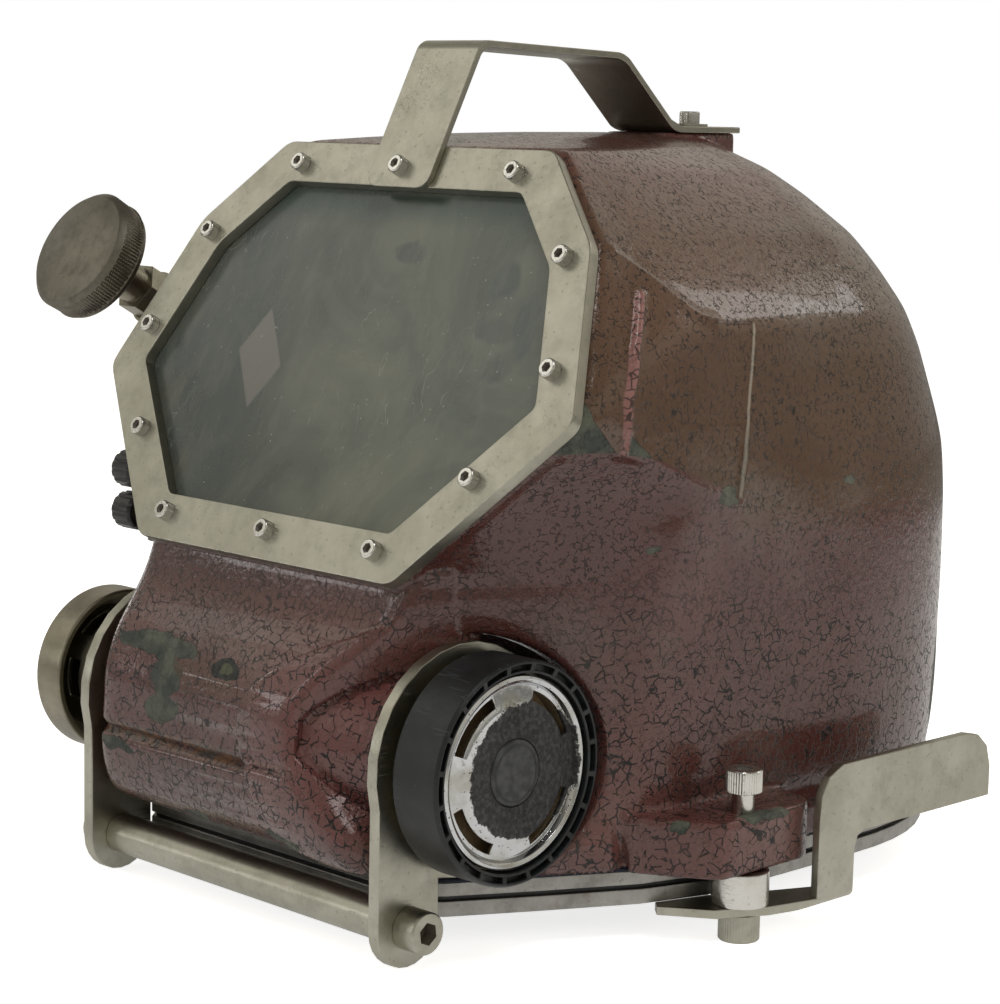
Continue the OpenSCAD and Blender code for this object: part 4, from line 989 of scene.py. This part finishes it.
def panel_cuts(mesh):
    """Edge loops on both sides of the panels' rear and top edges, so that the step is crisp."""
    edge = PANEL_REAR + BROW[1:3]
    with edited(mesh) as work:
        for (y0, z0), (y1, z1) in zip(edge, edge[1:]):
            across = Vector((0, z1 - z0, y0 - y1)).normalized()
            for side in (-STEP_HALF, STEP_HALF):
                at = (Vector((0, y0, z0)) + across * side) * MM
                near = [f for f in work.faces if abs(f.calc_center_median().x) > 0.1
                        and -0.045 < f.calc_center_median().y < 0.035
                        and 0.165 < f.calc_center_median().z < 0.285]
                around = list({e for f in near for e in f.edges}
                              | {v for f in near for v in f.verts})
                bmesh.ops.bisect_plane(work, geom=near + around, dist=1e-6, plane_co=at,
                                       plane_no=across)


def melted(body, rounds=150):
    """Rounds off the crease between the cheek and the side panel."""
    at = places_of(body)
    gap = line_gap(at[:, 1], at[:, 2], [(-78, 230), (-27, 261)])
    share = (1 - ramp(gap, 13, 25)) * (np.abs(at[:, 0]) > 110)
    group = body.vertex_groups.new(name="cheek")
    for i in np.nonzero(share > 0.02)[0]:
        group.add([int(i)], float(share[i]), "REPLACE")
    altered(body, "SMOOTH", factor=0.5, iterations=rounds, vertex_group="cheek")
    baked(body)
    body.vertex_groups.clear()


def shape_skin(body, settings):
    """Moulded features of the shell: crease, plateau, side panels, beads and foot flange."""
    co = places_of(body)
    normal = np.empty(len(co) * 3, np.float32)
    body.data.vertex_normals.foreach_get("vector", normal)
    normal = normal.reshape(-1, 3)
    x, y, z = co.T
    wide = np.abs(x)
    front = ramp(-normal[:, 1], 0.3, 0.7) * ramp(-y, 112, 126)
    crease = np.exp(-((z - 73 - 0.01 * x) / 2.3) ** 2) * front * (1 - ramp(x, 18, 24))
    double = np.exp(-((z - 74.5) / 1.0) ** 2) + np.exp(-((z - 78) / 1.0) ** 2)
    crease += 0.38 * double * front * ramp(x, 20, 24) * (1 - ramp(x, 44, 50))
    rise = ramp(inside_by(x, z, PLATEAU), -1.4, 1.2) * ramp(-y, 70, 96) * ramp(x, 8, 12)
    rise = rise * (1 - 0.5 * ramp(z, 118, 150))
    cone = np.interp(x, (50, 94), (47.5, 34))
    off_axis = np.hypot(y - REGULATOR[0], z - REGULATOR[1])
    rise = rise * np.where(x > 50, ramp(off_axis - cone, 0.7, 2.0), 1)
    move = settings.plateau_rise / MM * rise - settings.crease_depth / MM * crease
    flare = (1 - ramp(z, 44, 55)) * ramp(z, 30, 31.4) * np.maximum(ramp(wide, 96, 112),
                                                                 ramp(y, 0, 30))
    flare = flare * (1 - ramp(inside_by(wide, y, LATCH_BOSS), -8, -2))
    move = move + settings.flange_flare / MM * flare * (1 - ramp(np.abs(normal[:, 2]), 0.6, 0.9))
    co = co + normal * move[:, None]
    brow = np.exp(-(line_gap(y, z, BROW[1:]) / 2.4) ** 2) * (wide > 112)
    fold = np.exp(-(line_gap(y, z, PANEL_LOW[1:]) / 1.8) ** 2) * (wide > 135)
    co += normal * (1.3 * brow + 0.7 * fold)[:, None]
    panel = ramp(inside_by(y, z, PANEL), -STEP_HALF, STEP_HALF) * (wide > 120)
    proud = np.clip(np.abs(co[:, 0]) - 151, 0, 6) + 1.3 * ramp(y, -40, 13)
    co[:, 0] -= np.sign(x) * panel * proud
    middle = np.interp(z, (212, 235, 255, 276), (-62, -61, -52.7, -40.7))
    half = np.interp(z, (212, 224, 276), (1.0, 1.9, 2.2))
    bead = np.exp(-((y - middle) / half) ** 4)
    bead = bead * ramp(z, 210.5, 214) * (1 - ramp(z, 276, 280)) * (wide > 125)
    co += normal * (2.0 * bead)[:, None]
    move_to(body, co)


MOST_TRIANGLES = 185000
WALL = 5  # thickness of the shell, in mm


def shell_lathe(name, profile, axis, count=96):
    return lathe(name, profile, axis, "shell_paint", count)


def shell_prism(name, outline, low, high, matrix=STILL):
    return prism(name, outline, low, high, matrix, "shell_paint")


def build_shell(settings):
    """Skin, necks, bosses and seats as one softened body, hollowed and bored."""
    body = skin("shell.skin", LEVELS, 1.0, 2.6, 1.3)
    upright = Matrix(((0, 0, 1), (1, 0, 0), (0, 1, 0)))
    for sign, axis in ((1, AXIS_RIGHT), (-1, AXIS_LEFT)):
        cut(body, shell_lathe("pocket", box(0, 93.4, 53, 175), axis))
        cut(body, shell_prism("leg", box(-151, -5, -111, 78), sign * 93.4, sign * 103,
                              place((0, 0, 0), upright)))
    parts = [body,
             shell_lathe("neck", [(0, 50), (47.5, 50), (34, 93.9), (0, 93.9)], AXIS_RIGHT, 128),
             shell_lathe("neck", [(0, 80), (41, 80), (34, 93.9), (0, 93.9)], AXIS_LEFT, 128)]
    for sign in (1, -1):
        parts.append(shell_prism("boss", [(sign * x, y) for x, y in LATCH_BOSS], 31.25, 56))
    parts.append(shell_prism("handle_seat", box(-19, 104, 19, 156), 322, 341))
    parts.append(shell_lathe("valve_seat", box(0, 0, 17, 9),
                             place((-152.5, -21.4, 243.6), turned(90, "Y")), 64))
    parts.append(shell_prism("terminal_seat", box(-126, -93, -102, -71), 145, 187))
    for shrink, low, high in ((1.5, -11, -6.2), (6, -25, -10)):
        parts.append(shell_prism("port_seat", inset(octagon(PORT_OUTER), shrink), low, high, PORT))
    body = joined("shell.painted", parts)
    altered(body, "REMESH", mode="VOXEL", voxel_size=settings.voxel, adaptivity=0.0)
    altered(body, "SMOOTH", factor=0.5, iterations=settings.ease)
    baked(body)
    melted(body)
    panel_cuts(body.data)
    shape_skin(body, settings)
    hollow = LEVELS[(LEVELS[:, 0] > 49) & (LEVELS[:, 0] <= 340)].copy()
    hollow[:, 0] -= np.where(hollow[:, 0] > 320, 5.5, 0)
    hollow[:, 1] += WALL + 1
    hollow[:, 2:4] = np.maximum(hollow[:, 2:4] - WALL, 1)
    hollow[:, 5] += 1
    hollow[:, [4, 6, 8]] -= WALL
    neck = np.array([0, -97, 74, 74, 121, -25, 134, 75, 219], float)
    necks = [neck + [height, 0, 0, 0, 0, 0, 0, 0, 0] for height in (21, 47)]
    cut(body, skin("hollow", np.concatenate([necks, hollow]), 0.3, 12, 0))
    for shrink, low, high in ((-5.3, -17, 24), (1, -60, 0)):
        cut(body, shell_prism("opening", inset(octagon(PORT_INNER), shrink), low, high, PORT))
    for axis, start, wide in ((AXIS_RIGHT, 44, 42), (AXIS_LEFT, 74, 34)):
        cut(body, shell_lathe("hollow", [(0, start), (wide, start), (29, 87), (0, 87)], axis, 64))
        cut(body, shell_lathe("bore", box(0, 80, 16.1, 96), axis, 64))
    count = sum(len(p.vertices) - 2 for p in body.data.polygons)
    if count > MOST_TRIANGLES:
        altered(body, "DECIMATE", ratio=MOST_TRIANGLES / count)
        baked(body)
    return seat(body, "helmet", ["shell"], 50)



# ---------------------------------------------------------------- soft pieces

def swollen(pad, pressure=4.0, frames=20, cap=5.0):
    """Blows a pad's cover up like cloth over its filling. No point moves further than the cap."""
    altered(pad, "REMESH", mode="VOXEL", voxel_size=0.0045)
    baked(pad)
    start = places_of(pad)
    cover = altered(pad, "CLOTH")
    cover.settings.use_pressure = True
    cover.settings.uniform_pressure_force = pressure
    cover.settings.effector_weights.gravity = 0
    cover.point_cache.frame_start, cover.point_cache.frame_end = 1, frames
    for number in range(1, frames + 1):
        bpy.context.scene.frame_set(number)
    baked(pad)
    bpy.context.scene.frame_set(1)
    shift = places_of(pad) - start
    far = np.maximum(np.linalg.norm(shift, axis=1), 1e-6)[:, None]
    move_to(pad, start + shift * np.minimum(1, cap / far))
    altered(pad, "SUBSURF", levels=1, render_levels=1)
    return baked(pad)


def pillow(name, size, centre, turn, node):
    """A cushion that is crowned in the middle, drawn in between its corners, and sewn through
    along two channels."""
    cols, rows = 64, 25
    fill_out = 0.995  # share of its size that the finished cushion fills
    u, v = np.meshgrid(np.linspace(0, 2 * math.pi, cols, endpoint=False),
                       np.linspace(-math.pi / 2, math.pi / 2, rows)[1:-1])
    power = lambda a, k: np.sign(a) * np.abs(a) ** k
    thick = 0.36 * size[2]
    points = np.stack([0.46 * size[0] * power(np.cos(u) * np.cos(v), 0.5),
                       0.46 * size[1] * power(np.sin(u) * np.cos(v), 0.5),
                       thick * power(np.sin(v), 0.8)], -1).reshape(-1, 3)
    points = np.concatenate([points, [[0, 0, -thick], [0, 0, thick]]])
    faces = bands(rows - 2, cols) + fans(rows - 2, cols)
    pad = swollen(outward(add_piece(name, points, faces, "pad_cloth")))
    at = places_of(pad)
    at *= np.array(size) * fill_out / np.ptp(at, axis=0)
    at -= (at.max(0) + at.min(0)) / 2
    for channel in (-0.17, 0.17):
        at[:, 2] *= 1 - 0.30 * np.exp(-((at[:, 0] / size[0] - channel) / 0.022) ** 2)
    seam = np.hypot(at[:, 0] / size[0], at[:, 1] / size[1]) > 0.3
    at[:, :2] *= 1 - 0.012 * (seam * (np.abs(at[:, 2]) < 1.2))[:, None]
    move_to(pad, put(at, place(centre, turn)))
    seat(pad, "helmet", [node], 80)


# ---------------------------------------------------------------- operators

def set_out(node, ending, source, places, finish, seed=3):
    """Puts copies of a small part on the helmet, in place of a CAD node."""
    seat(repeated(f"{node}.{ending}", source, places, finish, seed), "helmet", [node])


def ring_plan():
    """Outline of the neck ring, seen from above."""
    half = [(0, -116), (91, -116), (98, -108), (118, -72), (139, -32), (149, 0), (150, 50)]
    for i in range(15):
        t = math.radians(90 * i / 14)
        half.append((150 * max(math.cos(t), 0) ** (2 / 2.4), 95 + 140 * math.sin(t) ** (2 / 2.4)))
    return half + [(-x, y) for x, y in half[-2:0:-1]]


class HELMET_OT_shell(bpy.types.Operator):
    """Build the painted shell with its moulded features"""
    bl_idname = "helmet.shell"
    bl_label = "Shell"

    def execute(self, context):
        build_shell(context.scene.helmet_shell)
        path = np.array([(x, y, 31.4) for x, y in inset(ring_plan(), 1.2)])
        path = np.concatenate([path, path[:1]])
        dense = np.array([a + (b - a) * t for a, b in zip(path, path[1:]) for t in np.linspace(
            0, 1, max(2, int(np.linalg.norm(b - a) / 3)), endpoint=False)])
        rng = np.random.default_rng(5)
        size = 0.9 + 0.35 * smoothed(rng.random(len(dense)), 1.5, 0, True)
        seal = ring_tube("shell.sealant", dense, size, "sealant")
        seat(seal, "helmet", ())
        return {"FINISHED"}


class HELMET_OT_faceplate(bpy.types.Operator):
    """Build the lens, its gasket, its steel frame and the frame's screws"""
    bl_idname = "helmet.faceplate"
    bl_label = "Faceplate"

    def execute(self, context):
        dress(port_retainer=0.7, port_gasket=0.3, port_lens=0.8)
        spots = PORT_SCREWS + [(-x, y) for x, y in PORT_SCREWS] + [(0, 12.7)]
        places = [PORT @ Matrix.Translation((x, y, 0)) for x, y in spots]
        places.append(PORT @ Matrix.Translation((0, 185.4, 3)))
        screw = cap_screw("port_screw", 2.5, 12, 4.25, 5, 2.4, "bright_steel", 0.16, 30)
        set_out("port_screws", "detailed", screw, places, "bright_steel", 4)
        return {"FINISHED"}


class HELMET_OT_handle(bpy.types.Operator):
    """Build the carry handle and its rear screw"""
    bl_idname = "helmet.handle"
    bl_label = "Carry handle"

    def execute(self, context):
        def bend(a, b):
            return (abs(a.x - b.x) > 35 and a.z > 338 and a.y < 120 and abs(a.z - b.z) < 0.1)
        dressed("carry_handle", 0.5, bend)
        dress(handle_washer=0.2)
        screw = cap_screw("handle_screw", 3, 12, 5, 6, 2.5, "bright_steel", 0.16, 34)
        set_out("handle_screw", "detailed", screw, [place((0, 143, 345.2))], "bright_steel")
        return {"FINISHED"}


class HELMET_OT_guard(bpy.types.Operator):
    """Build the guard plates, the bar between them and its two screws"""
    bl_idname = "helmet.guard"
    bl_label = "Chin guard"

    def execute(self, context):
        dress(guard_plate_left=0.6, guard_plate_right=0.6, guard_bar=0.6)
        places = [place((sign * 100, -131, 17), turned(90 * sign, "Y")) for sign in (1, -1)]
        screw = cap_screw("guard_screw", 6, 26, 9, 12, 5.0, "stainless")
        set_out("guard_bolts", "detailed", screw, places, "stainless", 9)
        return {"FINISHED"}


class HELMET_OT_regulator(bpy.types.Operator):
    """Build the demand regulator with its cover, bumper and purge button"""
    bl_idname = "helmet.regulator"
    bl_label = "Demand regulator"

    def execute(self, context):
        dress(regulator_body=0.4, regulator_nut=0.4, demand_valve=0.4, diaphragm=0.4,
              demand_lever=0.2, regulator_cover=0.25, purge_button=0.4, regulator_bumper=0.35)
        return {"FINISHED"}


class HELMET_OT_exhaust(bpy.types.Operator):
    """Build the exhaust with its flap, cup and set screw"""
    bl_idname = "helmet.exhaust"
    bl_label = "Exhaust"

    def execute(self, context):
        dress(exhaust_body=0.5, exhaust_nut=0.5, exhaust_valve=0.5, exhaust_cup=0.5,
              exhaust_set_screw=0.15)
        return {"FINISHED"}


class HELMET_OT_air_valve(bpy.types.Operator):
    """Build the air valve with its knurled knob and the hose adapter"""
    bl_idname = "helmet.air_valve"
    bl_label = "Air valve"

    def execute(self, context):
        def knurl(a, r, h):
            up, down = (abs((a * 58 / math.pi + way * h * 1.35) % 2 - 1) for way in (1, -1))
            return -0.85 * (1 - np.minimum(up, down)) * (30.5 < r) * (-13.9 < h < -2.9)
        rows = [(31, h) for h in np.linspace(-13.6, -3.0, 16)]
        profile = [(0, -17.5), (28.6, -17.5), (29.6, -16.6), (29.8, -14.8), (30.9, -14.0)] + rows \
            + [(30.9, -2.8), (30.0, -1.9), (28.4, -0.3), (27.9, 0), (0, 0)]
        knob = lathe("valve_knob.knurled", profile, VALVE, "knob_metal", 464, knurl)
        cut(knob, lathe("bore", box(0, -19, 4.05, -6), VALVE, "knob_metal", 32))
        seat(knob, "valve_control", ["valve_knob"], 40)
        dress(valve_body=0.4, valve_bonnet=0.4, valve_stem=0.4, valve_nut=0.4, inlet_adapter=0.4)
        return {"FINISHED"}


class HELMET_OT_neck_ring(bpy.types.Operator):
    """Build the neck ring's two halves, its seal and its screws"""
    bl_idname = "helmet.neck_ring"
    bl_label = "Neck ring"

    def execute(self, context):
        dress(upper_ring=0.5, lower_ring=0.7, ring_seal=0.2, upper_ring_screws=0.2,
              lower_ring_screws=0.3)
        return {"FINISHED"}


class HELMET_OT_latches(bpy.types.Operator):
    """Build the two latch levers with their bushes, pivot bolts and locking screws"""
    bl_idname = "helmet.latches"
    bl_label = "Latches"

    def execute(self, context):
        def bend(a, b):
            return abs(a.y - b.y) > 15 and abs(a.x - b.x) < 0.2 and abs(a.z - b.z) < 0.2 \
                and min(abs(a.z - 12), abs(a.z - 16)) < 0.2 and abs(a.x) > 178
        for side in ("left", "right"):
            dressed(f"latch_lever_{side}", 0.5, bend, 3.4)
        dress(latch_bushes=0.7)
        under_lever, over_boss = 12, 65  # heights that the heads stand on
        pairs = [[place((sign * 164.5, 3, z), turn) for sign in (1, -1)]
                 for z, turn in ((under_lever, turned(180, "X")),
                                 (over_boss, Matrix.Identity(3)))]
        bolt = cap_screw("latch_bolt", 6, 31, 9, 12, 5, "stainless", 0.22, 44)
        set_out("latch_bolts", "detailed", bolt, pairs[0], "stainless", 2)
        screw = cap_screw("latch_screw", 5, 20, 8, 10, 4.3, "bright_steel", 0.35, 40)
        set_out("latch_screws", "detailed", screw, pairs[1], "bright_steel", 7)
        return {"FINISHED"}


class HELMET_OT_terminals(bpy.types.Operator):
    """Build the two cable terminals"""
    bl_idname = "helmet.terminals"
    bl_label = "Cable terminals"

    def execute(self, context):
        dress(terminal_studs=0.2)
        places = [place((-157, -82, z), turned(90, "Y")) for z in (156, 176)]
        profile = soft_profile([(0, 0), (7.6, 0), (9, 1.4), (9, 13), (8, 15), (3.1, 15), (3.1, 7),
                                (0, 7)], 0.5)
        knob = lathe("terminal_knob", profile, STILL, "black_plastic", 96,
                     lambda a, r, h: -0.7 * np.clip(np.cos(a * 12), 0, 1) * (r > 8.2))
        set_out("terminal_knobs", "ribbed", knob, places, "black_plastic", 5)
        return {"FINISHED"}


AIR_ROUTE = [(-138, -21.4, 243.6), (-131, -21.4, 242), (-128, -22, 225), (-128, -30, 190),
             (-118, -47, 166), (-100, -70, 152), (-79, -92, 139), (-50, -118, 121),
             (0, -131.4, 110), (35, -129.4, 104), (54, -117.6, 93), (64, -104, 85),
             (69, -100, 82.7), (76, -100, 82.7)]
DEFOG_PLAN = [(-111, 150), (-94, 169.5), (-67, 183.5), (0, 184.5), (67, 183.5), (94, 169.5),
              (111, 150)]


class HELMET_OT_interior(bpy.types.Operator):
    """Build what shows through the lens and from below: mask, pads, tubes and sound parts"""
    bl_idname = "helmet.interior"
    bl_label = "Interior"

    def execute(self, context):
        dress(oral_nasal_mask=1.0, microphone=0.6, earphones=1.2)
        pillow("crown_pad.cushion", (92, 110, 24), (0, 58, 321.1), Matrix.Identity(3), "crown_pad")
        pillow("rear_pad.cushion", (110, 116, 26), (0, 218, 150), turned(-90, "X"), "rear_pad")
        defog = [PORT @ Vector((x, v, -29.3)) for x, v in DEFOG_PLAN]
        for node, route, metal_name in (("air_pipe", AIR_ROUTE, "satin_brass"),
                                        ("defog_tube", defog, "nickel")):
            pipe = tube(node + ".bent", smooth_path(route, 8), 4, metal_name)
            seat(pipe, "helmet", [node])
        return {"FINISHED"}


AIM = (0, 0, 0.2)
LAMPS = (  # name, place, aim, power, width, height and colour; the first two aren't mirrored
    ("key", (0.9, -0.5, 2.2), AIM, 22, 1.5, 1.1, (1, 0.985, 0.95)),
    ("side", (2.3, 1.1, 0.7), AIM, 15, 1.3, 1.3, (1, 0.96, 0.87)),
    ("left", (-1.0, -2.3, 1.0), AIM, 3.0, 0.22, 1.3, (0.97, 0.985, 1)),
    ("window", (-1.60, -1.22, 1.70), AIM, 2.5, 1.2, 0.9, (1, 1, 0.93)),
    ("pane", (-1.60, -1.62, 0.42), AIM, 1.4, 0.35, 0.30, (1, 1, 1)),
    ("doorway", (-2.40, 0.20, 0.55), AIM, 2.4, 0.30, 0.9, (1, 1, 1)),
    ("ceiling", (0.75, -0.45, 2.1), AIM, 3.6, 0.30, 0.8, (1, 1, 0.97)),
    ("rear", (0.75, 2.25, 1.75), (0, 0.1, 0.25), 2.0, 0.5, 0.5, (1, 1, 1)))
FLOOR_HALF = 4500  # mm
LENS, SENSOR = 96.89, 36  # the camera's focal length and the width of its sensor, in mm


class HELMET_OT_stage(bpy.types.Operator):
    """Set the camera, the floor and the soft studio light"""
    bl_idname = "helmet.stage"
    bl_label = "Camera and light"

    def execute(self, context):
        scene = context.scene
        setup = scene.helmet_stage
        azimuth, lift, roll = setup.azimuth, setup.elevation, setup.roll
        back = Vector((math.sin(azimuth) * math.cos(lift), -math.cos(azimuth) * math.cos(lift),
                       math.sin(lift)))
        right = Vector((math.cos(azimuth), math.sin(azimuth), 0))
        up = back.cross(right)
        right, up = (right * math.cos(roll) + up * math.sin(roll),
                     up * math.cos(roll) - right * math.sin(roll))
        data = bpy.data.cameras.new("camera")
        data.lens, data.sensor_width, data.sensor_fit = LENS, SENSOR, "HORIZONTAL"
        data.clip_start, data.clip_end = 0.05, 60
        scene.camera = linked("camera", data)
        turn = Matrix((right, up, back)).transposed().to_4x4()
        scene.camera.matrix_world = Matrix.Translation(setup.place) @ turn
        corners = box(-FLOOR_HALF, -FLOOR_HALF, FLOOR_HALF, FLOOR_HALF)
        add_piece("stage_floor", [(x, y, 0) for x, y in corners], [(0, 1, 2, 3)],
                           "stage_floor")
        for name, at, aim, power, wide, high, tint in LAMPS:
            lamp = bpy.data.lights.new(name, "AREA")
            lamp.shape, lamp.size, lamp.size_y = "RECTANGLE", wide, high
            lamp.energy, lamp.color = power * setup.light, tint
            light = linked(name, lamp)
            light.location = at
            light.rotation_mode = "QUATERNION"
            light.rotation_quaternion = (Vector(aim) - Vector(at)).to_track_quat("-Z", "Y")
            light.visible_glossy = name not in ("key", "side")
        set_world(scene)
        scene.view_settings.view_transform = "Standard"
        return {"FINISHED"}


def set_world(scene):
    """White for the camera, and a soft grey room with a darker lower half for the rest."""
    scene.world = bpy.data.worlds.new("room")
    s = Shader(scene.world, "Generated")
    camera, mirrored = s.rays()
    height = s.at.math("MULTIPLY_ADD", s.at.split()[2], 0.5, 0.5)
    rise = s.node("ShaderNodeFloatCurve", {"Value": height})
    mapping = rise.socket.node.mapping
    curve = mapping.curves[0]
    curve.points[0].location, curve.points[1].location = (0, 0.06), (1, 0.14)
    for spot in ((0.42, 0.12), (0.50, 0.22), (0.60, 0.44), (0.72, 0.60), (0.84, 0.30)):
        curve.points.new(*spot)
    mapping.update()
    room = s.node("ShaderNodeBackground", {0: (1.0, 0.955, 0.83, 1), 1: rise})
    white = s.node("ShaderNodeBackground", {0: (1, 1, 1, 1), 1: 1.0})
    horizon = s.node("ShaderNodeMapRange", {0: height, 1: 0.50, 2: 0.60, 3: 0.12, 4: 0.0})
    seen = camera.most(mirrored * horizon)
    s.node("ShaderNodeOutputWorld", {0: s.mixed(seen, room, white)})


# ---------------------------------------------------------------- settings and panel

def amount(name, description, default, **more):
    return FloatProperty(name=name, description=description, default=default, **more)


def length(name, description, default, **more):
    return amount(name, description, default, unit="LENGTH", **more)


def angle_of(name, description, degrees):
    return amount(name, description, math.radians(degrees), subtype="ANGLE", unit="ROTATION")


def tint(name, description, default):
    return FloatVectorProperty(name=name, description=description, default=default, size=3,
                               subtype="COLOR")


class ShellSettings(bpy.types.PropertyGroup):
    """Shape and paint of the shell."""
    voxel: length("Mesh step", "Size of the faces of the shell's skin", 0.0016,
                  min=0.001, max=0.01)
    ease: IntProperty(name="Softening", description="Rounds of smoothing of the moulded edges",
                      default=4, min=0, max=40)
    crease_depth: length("Crease depth", "Depth of the chin's crease", 0.0034)
    plateau_rise: length("Plateau rise", "Height of the raised area round the regulator's neck",
                         0.0036)
    flange_flare: length("Foot flare", "How far the shell's foot stands out over the neck ring",
                         0.0038)
    crack_size: length("Crack spacing", "Size of the paint's crazing", 0.0029, min=0.001)
    paint_dark: tint("Dark paint", "The paint's darker colour", (0.060, 0.019, 0.016))
    paint_light: tint("Light paint", "The paint's lighter colour", (0.100, 0.034, 0.030))
    hammer: amount("Hammering", "Strength of the paint's hammered texture", 0.5, min=0, max=2)


class StageSettings(bpy.types.PropertyGroup):
    """Camera and light."""
    place: FloatVectorProperty(name="Camera place", description="Where the camera stands",
                               default=(0.8796, -0.8624, 0.3503), size=3, subtype="TRANSLATION",
                               unit="LENGTH")
    azimuth: angle_of("Azimuth", "Direction of the camera round the helmet", 45)
    elevation: angle_of("Elevation", "How far the camera looks down", 8.3)
    roll: angle_of("Roll", "Turn of the camera about its own axis", 1.19)
    light: amount("Light", "Strength of the studio lights", 1.0, min=0, max=10)


STAGES = [HELMET_OT_stage, HELMET_OT_shell, HELMET_OT_faceplate, HELMET_OT_handle,
          HELMET_OT_guard, HELMET_OT_regulator, HELMET_OT_exhaust, HELMET_OT_air_valve,
          HELMET_OT_neck_ring, HELMET_OT_latches, HELMET_OT_terminals, HELMET_OT_interior]


class HELMET_PT_panel(bpy.types.Panel):
    """Settings and buttons of the helmet"""
    bl_idname = "HELMET_PT_panel"
    bl_label = "Diving helmet"
    bl_space_type, bl_region_type, bl_category = "VIEW_3D", "UI", "Helmet"

    def draw(self, context):
        for settings in (context.scene.helmet_shell, context.scene.helmet_stage):
            for name in settings.__annotations__:
                self.layout.prop(settings, name)
        for stage in STAGES:
            self.layout.operator(stage.bl_idname)


CLASSES = [ShellSettings, StageSettings, *STAGES, HELMET_PT_panel]


def register():
    for kind in CLASSES:
        bpy.utils.register_class(kind)
    bpy.types.Scene.helmet_shell = PointerProperty(type=ShellSettings)
    bpy.types.Scene.helmet_stage = PointerProperty(type=StageSettings)


def unregister():
    del bpy.types.Scene.helmet_shell
    del bpy.types.Scene.helmet_stage
    for kind in reversed(CLASSES):
        bpy.utils.unregister_class(kind)


def main():
    register()
    for stage in STAGES:
        group, name = stage.bl_idname.split(".")
        getattr(getattr(bpy.ops, group), name)()


if __name__ == "__main__":
    main()
